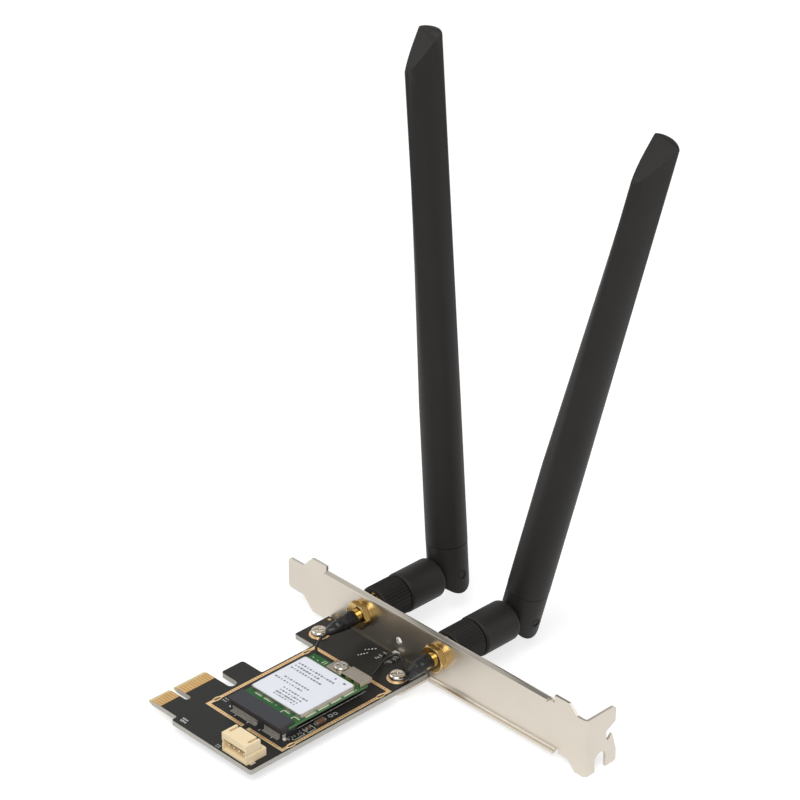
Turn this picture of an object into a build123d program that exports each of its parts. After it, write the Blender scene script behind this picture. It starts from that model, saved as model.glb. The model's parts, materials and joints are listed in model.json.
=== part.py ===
from build123d import *
import os
from math import cos, pi, radians, sin, sqrt, tan

# A wireless network card for a desktop computer: a short board with a radio module in a socket,
# a full-height folded steel bracket with two aerial jacks, and two aerials that swivel and tilt.
#
# X points out through the bracket, Y from the board towards its edge contacts, and Z up from the
# side of the board that carries the parts. The origin is the middle of the key notch, on the line
# of the contact edge, halfway through the board. All sizes are in millimetres.

# Clearances and thin layers
SLIP = 0.05
RUN_GAP = 0.3
PLATING = 0.05

# Shares: of half a slot's width for its rounded floor, of a screw head's height for its rounded rim,
# of a coax run for the arc at its end
FULL_ROUND = 0.96
HEAD_ROUND = 0.55
ARC_SHARE = 0.45

# Board
BOARD_THICKNESS = 1.6
BOARD_BACK_X = -10.2
BOARD_NEAR_Y = -45.5
BOARD_MAIN_Y = -12.3
BOARD_BRACKET_GAP = 0.35
BOARD_CORNER = 0.6
KEY_WIDTH = 1.9
KEY_BOTTOM_Y = -7.95
SHORT_SECTION = 7.2
LONG_SECTION = 11.2
BEVEL_LENGTH = 1.4
BEVEL_ANGLE = 20
HOOK_GAP = 3.1
HOOK_GAP_BOTTOM_Y = -11.8
HOOK_LENGTH = 8.3
HOOK_TOP_Y = -4.05
HOOK_CORNER = 1.0
SHOULDER_LENGTH = 14.0
SHORT_CONTACTS = 7
LONG_CONTACTS = 11
CONTACT_PITCH = 1.0
CONTACT_WIDTH = 0.7
CONTACT_LENGTH = 3.6

# Copper frame round the module, left bare of mask
FRAME_BACK_X = 1.8
FRAME_FRONT_X = 43.65
FRAME_INSET = 0.6
FRAME_STRIP = 1.1
FRAME_BREAK = 1.9
EYE_LENGTH = 2.5
EYE_WIDTH = 0.5
EYE_INSET = 3.9

# Module socket, module, shield can and label
MODULE_END_X = 37.9
MODULE_NEAR_INSET = 4.35
MODULE_LENGTH = 30.0
MODULE_WIDTH = 22.0
MODULE_THICKNESS = 0.8
MODULE_RISE = 2.4
MODULE_NOTCH = 3.5
MODULE_KEY_WIDTH = 1.2
MODULE_KEY_DEPTH = 2.6
MODULE_KEY_OFFSET = 6.6
SOCKET_END_INSET = 0.3
SOCKET_GRIP = 3.15
SOCKET_BACK_WALL = 2.4
SOCKET_HEIGHT = 4.2
SOCKET_CHAMFER = 0.15
SOCKET_BROW = 0.8
SOCKET_BROW_HEIGHT = 0.9
SOCKET_LIP = 0.9
SOCKET_PIN_PITCH = 0.5
SOCKET_PIN_WIDTH = 0.22
SOCKET_PIN_SHEET = 0.15
SOCKET_PIN_FOOT = 1.1
SOCKET_PIN_HEIGHT = 1.5
SOCKET_PINS_LONG = 21
SOCKET_PINS_SHORT = 13
SOCKET_PIN_INSET = 1.1
SOCKET_TAB_WIDTH = 1.2
SOCKET_TAB_REACH = 0.9
SOCKET_TAB_SETBACK = 1.7
SHIELD_SETBACK = 4.8
SHIELD_LENGTH = 21.05
SHIELD_SIDE_INSET = 0.6
SHIELD_HEIGHT = 1.3
SHIELD_WALL = 0.2
SHIELD_CORNER = 0.8
LABEL_INSET = 0.25
LABEL_THICKNESS = 0.1
RADIO_CHIP = 9.0
RADIO_CHIP_HEIGHT = 0.9
MODULE_PART_LENGTH = 1.0
MODULE_PART_WIDTH = 0.5
MODULE_PART_HEIGHT = 0.45
MODULE_PART_PITCH = 1.6
MODULE_PARTS = 6

# Hold-down clip over the coax plugs, with its screw and standoff
CLIP_SHEET = 0.35
CLIP_WIDTH = 4.6
CLIP_LAP = 2.75
CLIP_FLAT_REACH = 3.65
CLIP_STEP = 3.05
CLIP_ROOF_LENGTH = 7.7
CLIP_ROOF_GAP = 1.1
CLIP_CORNER = 0.6
CLIP_SCREW_HEAD = 4.4
CLIP_SCREW_HEAD_HEIGHT = 1.1
CLIP_SCREW_SHANK = 2.1
STANDOFF_DIAMETER = 5.0
STANDOFF_NECK = 3.3
PLUG_SPACING = 3.4
PLUG_SETBACK = 1.6
PLUG_DIAMETER = 2.3
PLUG_HEIGHT = 0.95
PLUG_NECK = 0.8
PLUG_NECK_LENGTH = 1.9
MODULE_JACK_DIAMETER = 1.7
MODULE_JACK_HEIGHT = 0.5

# Side-entry cable header
HEADER_FRONT_INSET = 0.6
HEADER_NEAR_INSET = 2.4
HEADER_WIDTH = 10.0
HEADER_DEPTH = 5.3
HEADER_HEIGHT = 6.2
HEADER_WALL = 0.6
HEADER_FLOOR = 0.9
HEADER_MOUTH_HEIGHT = 3.4
HEADER_BACK_WALL = 1.1
HEADER_WING = 2.0
HEADER_WING_HEIGHT = 2.6
HEADER_SLOT_WIDTH = 0.8
HEADER_SLOT_INSET = 1.2
HEADER_SLOT_LENGTH = 3.4
HEADER_GROOVE = 0.25
HEADER_GROOVE_HEIGHT = 0.8
HEADER_PINS = 4
HEADER_PIN_PITCH = 2.0
HEADER_PIN = 0.5
HEADER_PIN_HEIGHT = 2.5
HEADER_TAB_LENGTH = 1.8
HEADER_TAB_REACH = 0.8
HEADER_TAB_SHEET = 0.25

# Chip parts in the near row: distance from the copper frame's back, length, width, height
CHIP_CAP = 0.3
NEAR_ROW_GAP = 1.75
RESISTORS = [
    (5.6, 1.6, 0.8, 0.45),
    (7.8, 1.6, 0.8, 0.45),
    (10.0, 1.6, 0.8, 0.45),
]
CAPACITORS = [
    (12.3, 1.6, 0.8, 0.8),
    (16.9, 3.2, 1.4, 0.9),
]

# Chip parts beside the bracket: distance from the bracket and from the board's near edge
BRACKET_CHIPS = [(3.3, 15.5), (3.6, 11.3)]
BRACKET_CHIP_LENGTH = 2.0
BRACKET_CHIP_WIDTH = 1.25
BRACKET_CHIP_HEIGHT = 0.5

# Indicator lamp
LAMP_LENGTH = 2.0
LAMP_DEPTH = 1.3
LAMP_HEIGHT = 1.6
LAMP_INSET = 12.2
LAMP_LENS = 1.2

# Bracket: one folded sheet
BRACKET_X = 57.67
SHEET = 0.86
PLATE_WIDTH = 18.42
PLATE_LOW_Z = -1.18
TONGUE_TIP_Y = 13.7
TONGUE_WIDTH = 10.2
TONGUE_LENGTH = 6.4
TONGUE_TAPER = 3.9
TONGUE_CORNER = 1.3
FLANGE_BEND = 1.5
FLANGE_DROP = 0.84
FLANGE_REACH = 2.1
TOP_SHOULDER = 6.2
RELIEF = 1.0
LOWER_FLANGE_REACH = 1.2
LOWER_SHOULDER = 4.55
EAR_WIDTH = 9.0
EAR_OVERHANG = 4.0
EAR_BEND = 1.16
EAR_CORNER = 2.0
BRACKET_LENGTH = 120.08
TAB_BEND = 1.2
TAB_LOW_Z = -4.2
TAB_WIDTH = 18.6
TAB_REACH = 11.85
TAB_CORNER = 1.4
TAB_NOTCH_TOP_Z = 9.3
TAB_NOTCH_DEPTH = 3.6
TAB_NOTCH_LOW_Z = 4.0
TAB_HOOK_Z = 5.6
TAB_HOOK_REACH = 10.65
TAB_LOBE_REACH = 12.4
TAB_LOBE_Z = -0.4
TAB_SLOT_WIDTH = 4.42
TAB_SLOT_X = 6.05
TAB_SLOT_TOP_Z = 1.6
TAB_FLAT = 2.58
TAB_RAMP = 2.9
TAB_SHOULDER = 5.4
LAMP_HOLE = 2.3
LAMP_HOLE_Z = 5.96
SCREW_SHANK = 2.9
SCREW_HOLE = 3.2
SCREW_HEAD = 5.0
SCREW_HEAD_HEIGHT = 1.7
SCREW_TIP = 0.8
SCREW_PAD = 6.2
NEAR_SCREW_SETBACK = 8.25
NEAR_SCREW_INSET = 4.35
FAR_SCREW_SETBACK = 8.8
FAR_SCREW_INSET = 5.05
DRIVE_WIDTH = 0.55
DRIVE_LENGTH = 3.0
DRIVE_DEPTH = 0.8

# Aerial jacks and pigtails
LEFT_JACK_Y = -18.6
RIGHT_JACK_Y = -49.7
JACK_Z = 8.8
JACK_THREAD = 6.35
JACK_REACH = 10.1
JACK_HEX = 7.7
JACK_HEX_LENGTH = 2.0
JACK_WASHER = 1.2
JACK_WASHER_DIAMETER = 8.2
JACK_NUT_LENGTH = 2.0
JACK_MOUTH = 4.65
JACK_MOUTH_DEPTH = 3.9
JACK_CORE = 4.1
JACK_PIN = 0.9
JACK_PIN_SHORT = 1.0
JACK_STEM = 2.6
FERRULE = 4.2
FERRULE_LENGTH = 3.5
SHRINK_WALL = 0.35
SHRINK_LAP = 2.7
COAX = 0.8

# Aerials
RING_START = 3.5
RING_DIAMETER = 12.0
RING_RIDGES = 36
RIDGE_DEPTH = 0.45
RING_MOUTH = 9.2
RING_MOUTH_DEPTH = 1.7
RING_BACK_WALL = 1.6
RING_CHAMFER = 0.6
NUT_FLANGE = 1.0
SPIGOT_LENGTH = 2.8
SPIGOT_FLANGE = 0.5
SPIGOT_BORE = 3.4
SPIGOT_NECK = 4.9
PLUG_BODY = 8.0
PLUG_BODY_LENGTH = 7.0
SOCKET_CONTACT = 1.8
BARREL_DIAMETER = 12.4
BARREL_LENGTH = 13.9
BARREL_ROUND = 1.6
BARREL_LIP = 0.5
BARREL_BORE = 3.6
KNUCKLE_ROUND = 5.9
HINGE_TONGUE = 4.4
HINGE_TONGUE_ROUND = 4.5
HINGE_PLAY = 0.2
HINGE_PIN = 2.6
HINGE_PIN_SINK = 0.25
SEAM_RISE = 9.6
SEAM_GROOVE = 0.25
NECK_RISE = 6.0
AERIAL_LENGTH = 169.6
AERIAL_ROOT = 12.5
AERIAL_ROUND_TOP = 55.0
AERIAL_ROUND = 12.2
AERIAL_WALL = 1.2
KEEL_REACH = 7.1
KEEL_EDGE = 0.85
KEEL_ANGLE = 20.4
BACK_ROUND = 5.5
BACK_CORNER = 1.3
FLAT_CROWN = 0.12
TIP_ANGLE = 45
TIP_ROUND = 1.8
TIP_MARGIN = 0.3
CAVITY_TOP = 150.0
CAVITY_TIP = 1.4
RADIATOR_TUBE = 4.6
RADIATOR_TUBE_TOP = 62.0
RADIATOR_ROD = 1.6
RADIATOR_TOP = 124.0
RADIATOR_SOCKET = 4.0
LEFT_LEAN = -4.2
RIGHT_LEAN = 15.15
LEFT_BACKED_OFF = 0.8
RIGHT_BACKED_OFF = 0

# Values that follow from the sizes above
BOARD_TOP = BOARD_THICKNESS / 2
BOARD_UNDER = -BOARD_THICKNESS / 2
BOARD_FRONT_X = BRACKET_X - BOARD_BRACKET_GAP
MODULE_MID_Y = BOARD_NEAR_Y + MODULE_NEAR_INSET + MODULE_WIDTH / 2
MODULE_BACK_X = MODULE_END_X - MODULE_LENGTH
SOCKET_LENGTH = MODULE_WIDTH - 2 * SOCKET_END_INSET
MODULE_UNDER = BOARD_TOP + MODULE_RISE
MODULE_TOP = MODULE_UNDER + MODULE_THICKNESS
CLIP_TOP = MODULE_TOP + CLIP_SHEET
ROOF_UNDER = MODULE_TOP + CLIP_ROOF_GAP
STEP_Y = MODULE_MID_Y - CLIP_STEP
PLUG_X = MODULE_END_X - PLUG_SETBACK
ROOF_MID_Y = STEP_Y - CLIP_ROOF_LENGTH / 2
PLUG_YS = (ROOF_MID_Y + PLUG_SPACING / 2, ROOF_MID_Y - PLUG_SPACING / 2)
PLATE_TOP_Z = PLATE_LOW_Z + PLATE_WIDTH
TAB_Y = TONGUE_TIP_Y - BRACKET_LENGTH
TAB_EDGE_Y = TAB_Y + TAB_BEND
RAMP_Y = TAB_EDGE_Y + TAB_FLAT
SHOULDER_Y = RAMP_Y + TAB_RAMP
FLANGE_NEAR_Y = SHOULDER_Y + TAB_SHOULDER
TONGUE_ROOT_Y = TONGUE_TIP_Y - TONGUE_LENGTH
TAPER_Y = TONGUE_ROOT_Y - TONGUE_TAPER
FLANGE_FAR_Y = TAPER_Y - TOP_SHOULDER
NEAR_SCREW = (BRACKET_X - NEAR_SCREW_SETBACK, BOARD_NEAR_Y + NEAR_SCREW_INSET)
FAR_SCREW = (BRACKET_X - FAR_SCREW_SETBACK, HOOK_TOP_Y - FAR_SCREW_INSET)
LEFT_JACK = (BRACKET_X, LEFT_JACK_Y, JACK_Z)
RIGHT_JACK = (BRACKET_X, RIGHT_JACK_Y, JACK_Z)
HEX_BACK = -JACK_WASHER - JACK_HEX_LENGTH
FERRULE_END = HEX_BACK - FERRULE_LENGTH
MOUTH_END = JACK_REACH - JACK_MOUTH_DEPTH
NUT_SHOULDER = JACK_REACH + SPIGOT_FLANGE + 2 * SLIP
NUT_END = NUT_SHOULDER + NUT_FLANGE
RING_END = NUT_END + RING_BACK_WALL
BARREL_START = RING_END + RUN_GAP
BARREL_END = BARREL_START + BARREL_LENGTH
PIVOT_X = BARREL_END + KNUCKLE_ROUND + RUN_GAP
HINGE_SLOT = HINGE_TONGUE + 2 * HINGE_PLAY

# Heat-shrink sleeves past the ferrules: middle from the jack, then radius
LEFT_SHRINK = [
    (-8.0, 0, 0, 2.3),
    (-10.5, 0, -0.15, 1.7),
    (-12.6, 0.1, -0.5, 1.2),
    (-14.4, 0.2, -1.1, 0.6),
]
RIGHT_SHRINK = [
    (-8.2, 0.2, -0.3, 2.25),
    (-9.1, 0.8, -1.2, 1.9),
    (-9.8, 1.5, -2.5, 1.4),
    (-10.4, 2.3, -3.8, 0.6),
]

# Pigtail routes, from the end of the heat-shrink sleeve to the plug on the module
LEFT_ROUTE = [
    (40.8, -18.1, 7.1),
    (38.9, -18.3, 5.3),
    (38.5, -19.5, 3.2),
    (39.2, -21.9, 1.9),
    (40.3, -25.2, 1.6),
    (41.3, -28.6, 1.6),
    (41.9, -31.4, 2.2),
    (41.6, -33.6, 3.4),
    (40.3, -35.1, 4.4),
]
RIGHT_ROUTE = [
    (47.3, -46.2, 3.6),
    (48.3, -44.9, 2.4),
    (51.2, -43.9, 1.8),
    (53.2, -40.8, 1.7),
    (54.8, -37.9, 1.9),
    (55.7, -36.3, 2.6),
    (55.5, -35.2, 3.2),
    (54.6, -34.1, 2.9),
    (53.2, -33.3, 2.2),
    (50.5, -33.8, 1.9),
    (46.7, -35.7, 2.3),
    (42.9, -38.1, 3.6),
    (40.2, -38.7, 4.5),
]


def block(x0, x1, y0, y1, z0, z1):
    """A box between two corners."""
    middle = Pos((x0 + x1) / 2, (y0 + y1) / 2, (z0 + z1) / 2)
    return middle * Box(x1 - x0, y1 - y0, z1 - z0)


def slab_x(outline, x0, x1):
    """An outline of (y, z) points made thick along X."""
    return extrude(Plane.YZ.offset(x0) * outline, x1 - x0, dir=(1, 0, 0))


def slab_y(outline, y0, y1):
    """An outline of (x, z) points made thick along Y."""
    return extrude(Plane.XZ.offset(-y0) * outline, y1 - y0, dir=(0, 1, 0))


def slab_z(outline, z0, z1):
    """An outline of (x, y) points made thick along Z."""
    return extrude(Plane.XY.offset(z0) * outline, z1 - z0, dir=(0, 0, 1))


def outline(*points):
    """A closed flat outline through the points."""
    return Polygon(*points, align=None)


def rounded(shape, corners, radius):
    """The flat shape with the corners at the given points rounded off."""
    picked = [
        v for v in shape.vertices()
        if any(abs(v.X - u) < SLIP and abs(v.Y - w) < SLIP for u, w in corners)
    ]
    return fillet(picked, radius)


def turned(*profile):
    """A solid turned about X from (x, radius) points."""
    return revolve(outline(*profile), Axis.X)


def post(x, y, z0, z1, diameter):
    """A round bar along Z."""
    return Pos(x, y, (z0 + z1) / 2) * Cylinder(diameter / 2, z1 - z0)


def rod_x(x0, x1, diameter):
    """A round bar on the X axis."""
    return turned((x0, 0), (x1, 0), (x1, diameter / 2), (x0, diameter / 2))


def tube_x(x0, x1, outer, inner):
    """A round tube on the X axis."""
    return turned((x0, inner / 2), (x1, inner / 2), (x1, outer / 2), (x0, outer / 2))


def hex_x(x0, x1, across):
    """A hexagon bar on the X axis, with its corners bevelled at both ends."""
    corner = across / 2 / cos(radians(30))
    bevel = (corner - across / 2) * tan(radians(30))
    bar = slab_x(RegularPolygon(across / 2, 6, major_radius=False), x0, x1)
    face = across / 2
    return bar & turned(
        (x0, 0), (x1, 0), (x1, face), (x1 - bevel, corner), (x0 + bevel, corner), (x0, face))


def board():
    """The board, with its contact tongue, key notch, hook tab, bracket shoulder and screw holes."""
    tongue_back = -KEY_WIDTH / 2 - SHORT_SECTION
    tongue_front = KEY_WIDTH / 2 + LONG_SECTION
    hook_back = tongue_front + HOOK_GAP
    hook_front = hook_back + HOOK_LENGTH
    shoulder = BRACKET_X - SHOULDER_LENGTH
    half_key = KEY_WIDTH / 2
    shape = outline(
        (BOARD_BACK_X, BOARD_NEAR_Y),
        (BOARD_FRONT_X, BOARD_NEAR_Y),
        (BOARD_FRONT_X, HOOK_TOP_Y),
        (shoulder, HOOK_TOP_Y),
        (shoulder, BOARD_MAIN_Y),
        (hook_front, BOARD_MAIN_Y),
        (hook_front, HOOK_TOP_Y),
        (hook_back, HOOK_TOP_Y),
        (hook_back, HOOK_GAP_BOTTOM_Y),
        (tongue_front, HOOK_GAP_BOTTOM_Y),
        (tongue_front, 0),
        (half_key, 0),
        (half_key, KEY_BOTTOM_Y),
        (-half_key, KEY_BOTTOM_Y),
        (-half_key, 0),
        (tongue_back, 0),
        (tongue_back, BOARD_MAIN_Y),
        (BOARD_BACK_X, BOARD_MAIN_Y),
    )
    key_corners = [(half_key, KEY_BOTTOM_Y), (-half_key, KEY_BOTTOM_Y)]
    shape = rounded(shape, key_corners, half_key * FULL_ROUND)
    gap_corners = [(hook_back, HOOK_GAP_BOTTOM_Y), (tongue_front, HOOK_GAP_BOTTOM_Y)]
    shape = rounded(shape, gap_corners, HOOK_GAP / 2 * FULL_ROUND)
    shape = rounded(shape, [(hook_back, HOOK_TOP_Y), (hook_front, HOOK_TOP_Y)], HOOK_CORNER)
    outer = [(BOARD_BACK_X, BOARD_NEAR_Y), (BOARD_BACK_X, BOARD_MAIN_Y), (shoulder, HOOK_TOP_Y)]
    inner = [(shoulder, BOARD_MAIN_Y), (hook_front, BOARD_MAIN_Y), (tongue_back, BOARD_MAIN_Y)]
    shape = rounded(shape, outer + inner, BOARD_CORNER)
    part = slab_z(shape, BOARD_UNDER, BOARD_TOP)
    bite = BEVEL_LENGTH * tan(radians(BEVEL_ANGLE))
    wedge = outline((-BEVEL_LENGTH, BOARD_TOP), (0, BOARD_TOP), (0, BOARD_TOP - bite))
    upper = slab_x(wedge, tongue_back, tongue_front)
    part -= upper
    part -= mirror(upper, Plane.XY)
    for x, y in (NEAR_SCREW, FAR_SCREW):
        part -= post(x, y, BOARD_UNDER, BOARD_TOP, SCREW_HOLE)
    return part


def edge_contacts():
    """Gold contacts on both faces of the tongue."""
    margin = (SHORT_SECTION - (SHORT_CONTACTS - 1) * CONTACT_PITCH) / 2
    first = KEY_WIDTH / 2 + margin
    places = [-first - i * CONTACT_PITCH for i in range(SHORT_CONTACTS)]
    places += [first + i * CONTACT_PITCH for i in range(LONG_CONTACTS)]
    front = -BEVEL_LENGTH
    back = front - CONTACT_LENGTH
    pads = []
    for x in places:
        sides = (x - CONTACT_WIDTH / 2, x + CONTACT_WIDTH / 2, back, front)
        pads.append(block(*sides, BOARD_TOP, BOARD_TOP + PLATING))
        pads.append(block(*sides, BOARD_UNDER - PLATING, BOARD_UNDER))
    return pads


def bare_copper():
    """The gold-plated frame round the module and the pads under the bracket screws."""
    near = BOARD_NEAR_Y + FRAME_INSET
    far = BOARD_MAIN_Y - FRAME_INSET
    mid_x = (FRAME_BACK_X + FRAME_FRONT_X) / 2
    mid_y = (near + far) / 2
    width = FRAME_FRONT_X - FRAME_BACK_X
    length = far - near
    ring = Pos(mid_x, mid_y) * Rectangle(width, length)
    ring -= Pos(mid_x, mid_y) * Rectangle(width - 2 * FRAME_STRIP, length - 2 * FRAME_STRIP)
    ring -= Pos(FRAME_BACK_X, MODULE_MID_Y + FRAME_BREAK / 2) * Rectangle(3 * FRAME_STRIP, FRAME_BREAK)
    for x in (FRAME_BACK_X + EYE_INSET, FRAME_FRONT_X - EYE_INSET):
        for y in (near + FRAME_STRIP / 2, far - FRAME_STRIP / 2):
            ring -= Pos(x, y) * SlotOverall(EYE_LENGTH, EYE_WIDTH)
    pieces = slab_z(ring, BOARD_TOP, BOARD_TOP + PLATING).solids()
    for x, y in (NEAR_SCREW, FAR_SCREW):
        pad = Pos(x, y) * (Circle(SCREW_PAD / 2) - Circle(SCREW_HOLE / 2))
        pieces.append(slab_z(pad, BOARD_TOP, BOARD_TOP + PLATING))
    return pieces


def socket_housing():
    """The moulded socket that grips the module's contact edge, with a brow over its contacts."""
    wall = MODULE_BACK_X - SOCKET_BACK_WALL
    back = wall - SOCKET_BROW
    front = MODULE_BACK_X + SOCKET_GRIP
    top = BOARD_TOP + SOCKET_HEIGHT
    low_front = front - SOCKET_LIP
    profile = outline(
        (wall, BOARD_TOP),
        (front, BOARD_TOP),
        (front, MODULE_UNDER - SLIP),
        (MODULE_BACK_X - SLIP, MODULE_UNDER - SLIP),
        (MODULE_BACK_X - SLIP, MODULE_TOP + SLIP),
        (low_front, MODULE_TOP + SLIP),
        (low_front, top),
        (back + SOCKET_CHAMFER, top),
        (back, top - SOCKET_CHAMFER),
        (back, top - SOCKET_BROW_HEIGHT),
        (wall, top - SOCKET_BROW_HEIGHT),
    )
    near = MODULE_MID_Y - SOCKET_LENGTH / 2
    far = MODULE_MID_Y + SOCKET_LENGTH / 2
    body = slab_y(profile, near, far)
    key_y = MODULE_MID_Y - MODULE_KEY_OFFSET
    rib = MODULE_KEY_WIDTH / 2 - SLIP
    key_end = MODULE_BACK_X + MODULE_KEY_DEPTH - 2 * SLIP
    low = MODULE_UNDER - 2 * SLIP
    high = MODULE_TOP + 2 * SLIP
    body += block(MODULE_BACK_X - 2 * SLIP, min(key_end, low_front), key_y - rib, key_y + rib, low, high)
    return body


def socket_pin_places():
    """Where the two rows of contacts stand along the socket, either side of the key gap."""
    far = MODULE_MID_Y + SOCKET_LENGTH / 2 - SOCKET_PIN_INSET
    near = MODULE_MID_Y - SOCKET_LENGTH / 2 + SOCKET_PIN_INSET
    long_row = [far - i * SOCKET_PIN_PITCH for i in range(SOCKET_PINS_LONG)]
    short_row = [near + i * SOCKET_PIN_PITCH for i in range(SOCKET_PINS_SHORT)]
    return long_row + short_row


def socket_contacts():
    """Bent contacts that come out of the socket's back and stand on the board."""
    wall = MODULE_BACK_X - SOCKET_BACK_WALL
    toe = wall - SOCKET_PIN_FOOT
    high = BOARD_TOP + SOCKET_PIN_HEIGHT
    profile = outline(
        (toe, BOARD_TOP),
        (wall, BOARD_TOP),
        (wall, high),
        (wall - SOCKET_PIN_SHEET, high),
        (wall - SOCKET_PIN_SHEET, BOARD_TOP + SOCKET_PIN_SHEET),
        (toe, BOARD_TOP + SOCKET_PIN_SHEET),
    )
    half = SOCKET_PIN_WIDTH / 2
    return [slab_y(profile, y - half, y + half) for y in socket_pin_places()]


def socket_tabs():
    """The two metal tabs that hold the socket's ends down on the board."""
    mid = MODULE_BACK_X - SOCKET_TAB_SETBACK
    pieces = []
    for side in (-1, 1):
        wall = MODULE_MID_Y + side * SOCKET_LENGTH / 2
        toe = wall + side * SOCKET_TAB_REACH
        skin = wall + side * SOCKET_PIN_SHEET
        low, high = sorted((wall, toe))
        foot = block(
            mid - SOCKET_TAB_WIDTH / 2, mid + SOCKET_TAB_WIDTH / 2, low, high,
            BOARD_TOP, BOARD_TOP + SOCKET_PIN_SHEET)
        low, high = sorted((wall, skin))
        leg = block(
            mid - SOCKET_TAB_WIDTH / 2, mid + SOCKET_TAB_WIDTH / 2, low, high,
            BOARD_TOP, BOARD_TOP + SOCKET_PIN_HEIGHT)
        pieces.append(foot + leg)
    return pieces


def module_board():
    """The radio module's own board, with its key slot and the half hole for the screw."""
    near = MODULE_MID_Y - MODULE_WIDTH / 2
    far = MODULE_MID_Y + MODULE_WIDTH / 2
    plate = block(MODULE_BACK_X, MODULE_END_X, near, far, MODULE_UNDER, MODULE_TOP)
    plate -= post(MODULE_END_X, MODULE_MID_Y, MODULE_UNDER, MODULE_TOP, MODULE_NOTCH)
    key_y = MODULE_MID_Y - MODULE_KEY_OFFSET
    half = MODULE_KEY_WIDTH / 2
    plate -= block(
        MODULE_BACK_X, MODULE_BACK_X + MODULE_KEY_DEPTH, key_y - half, key_y + half,
        MODULE_UNDER, MODULE_TOP)
    return plate


def shield_box():
    """The corners of the shield can, as x0, x1, y0, y1."""
    x0 = MODULE_BACK_X + SHIELD_SETBACK
    half = MODULE_WIDTH / 2 - SHIELD_SIDE_INSET
    return x0, x0 + SHIELD_LENGTH, MODULE_MID_Y - half, MODULE_MID_Y + half


def rounded_plate(x0, x1, y0, y1, z0, z1, radius):
    """A plate with rounded corners."""
    shape = Pos((x0 + x1) / 2, (y0 + y1) / 2) * RectangleRounded(x1 - x0, y1 - y0, radius)
    return slab_z(shape, z0, z1)


def module_shield():
    """A drawn can, open below, over the module's radio chip."""
    x0, x1, y0, y1 = shield_box()
    top = MODULE_TOP + SHIELD_HEIGHT
    can = rounded_plate(x0, x1, y0, y1, MODULE_TOP, top, SHIELD_CORNER)
    wall = SHIELD_WALL
    can -= block(x0 + wall, x1 - wall, y0 + wall, y1 - wall, MODULE_TOP, top - wall)
    return can


def module_label():
    """The label stuck on the shield can."""
    x0, x1, y0, y1 = shield_box()
    low = MODULE_TOP + SHIELD_HEIGHT
    inset = LABEL_INSET
    return rounded_plate(
        x0 + inset, x1 - inset, y0 + inset, y1 - inset, low, low + LABEL_THICKNESS, SHIELD_CORNER)


def radio_chip():
    """The radio chip under the shield can."""
    x0, x1, y0, y1 = shield_box()
    half = RADIO_CHIP / 2
    mid = (x0 + x1) / 2
    return block(
        mid - half, mid + half, MODULE_MID_Y - half, MODULE_MID_Y + half,
        MODULE_TOP, MODULE_TOP + RADIO_CHIP_HEIGHT)


def module_parts():
    """A row of small parts on the module, beside the shield can."""
    x0, x1, y0, y1 = shield_box()
    x = x1 + MODULE_PART_WIDTH + SHIELD_WALL
    width = MODULE_PART_WIDTH / 2
    length = MODULE_PART_LENGTH / 2
    top = MODULE_TOP + MODULE_PART_HEIGHT
    pieces = []
    for i in range(MODULE_PARTS):
        y = y1 - MODULE_PART_PITCH * (i + 1)
        pieces.append(block(x - width, x + width, y - length, y + length, MODULE_TOP, top))
    return pieces


def module_jacks():
    """The two coax jacks that stand on the module."""
    top = MODULE_TOP + MODULE_JACK_HEIGHT
    return [post(PLUG_X, y, MODULE_TOP, top, MODULE_JACK_DIAMETER) for y in PLUG_YS]


def pigtail_plug(y):
    """A right-angle coax plug, pressed down on its jack."""
    low = MODULE_TOP + SLIP
    cap = post(PLUG_X, y, low, low + PLUG_HEIGHT, PLUG_DIAMETER)
    neck = Pos(PLUG_X, y, low + PLUG_HEIGHT / 2) * rod_x(0, PLUG_NECK_LENGTH, PLUG_NECK)
    inside = post(PLUG_X, y, low, MODULE_TOP + MODULE_JACK_HEIGHT, MODULE_JACK_DIAMETER + 2 * SLIP)
    return cap + neck - inside


def module_clip():
    """A stamped clip: a flat foot under the screw, and a raised roof over the coax plugs."""
    low = MODULE_END_X - CLIP_LAP
    high = low + CLIP_WIDTH
    far = MODULE_MID_Y + CLIP_FLAT_REACH
    roof_top = ROOF_UNDER + CLIP_SHEET
    end = STEP_Y - CLIP_ROOF_LENGTH
    profile = outline(
        (far, MODULE_TOP),
        (far, CLIP_TOP),
        (STEP_Y + CLIP_SHEET, CLIP_TOP),
        (STEP_Y, roof_top),
        (end, roof_top),
        (end, MODULE_TOP),
        (end + CLIP_SHEET, MODULE_TOP),
        (end + CLIP_SHEET, ROOF_UNDER),
        (STEP_Y - CLIP_SHEET, ROOF_UNDER),
        (STEP_Y, MODULE_TOP),
    )
    strip = slab_x(profile, low, high)
    corners = strip.edges().filter_by(Axis.Z).group_by(Axis.Y)[-1]
    strip = fillet(corners, CLIP_CORNER)
    hole = CLIP_SCREW_SHANK + 2 * RUN_GAP
    return strip - post(MODULE_END_X, MODULE_MID_Y, MODULE_TOP, CLIP_TOP, hole)


def pan_screw(x, y, seat, head, head_height, shank, tip):
    """A pan-head screw standing on its seat, with a cross drive."""
    top = seat + head_height
    body = post(x, y, seat, top, head)
    body = fillet(body.edges().group_by(Axis.Z)[-1], head_height * HEAD_ROUND)
    body += post(x, y, tip, seat, shank)
    for turn in (0, 90):
        cross = Box(DRIVE_LENGTH * head / SCREW_HEAD, DRIVE_WIDTH, DRIVE_DEPTH)
        body -= Pos(x, y, top - DRIVE_DEPTH / 2) * Rot(0, 0, 45 + turn) * cross
    return body


def module_screw():
    """The screw that holds the clip and the module on the standoff."""
    tip = BOARD_TOP + MODULE_RISE / 4
    return pan_screw(
        MODULE_END_X, MODULE_MID_Y, CLIP_TOP, CLIP_SCREW_HEAD, CLIP_SCREW_HEAD_HEIGHT, CLIP_SCREW_SHANK, tip)


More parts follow.
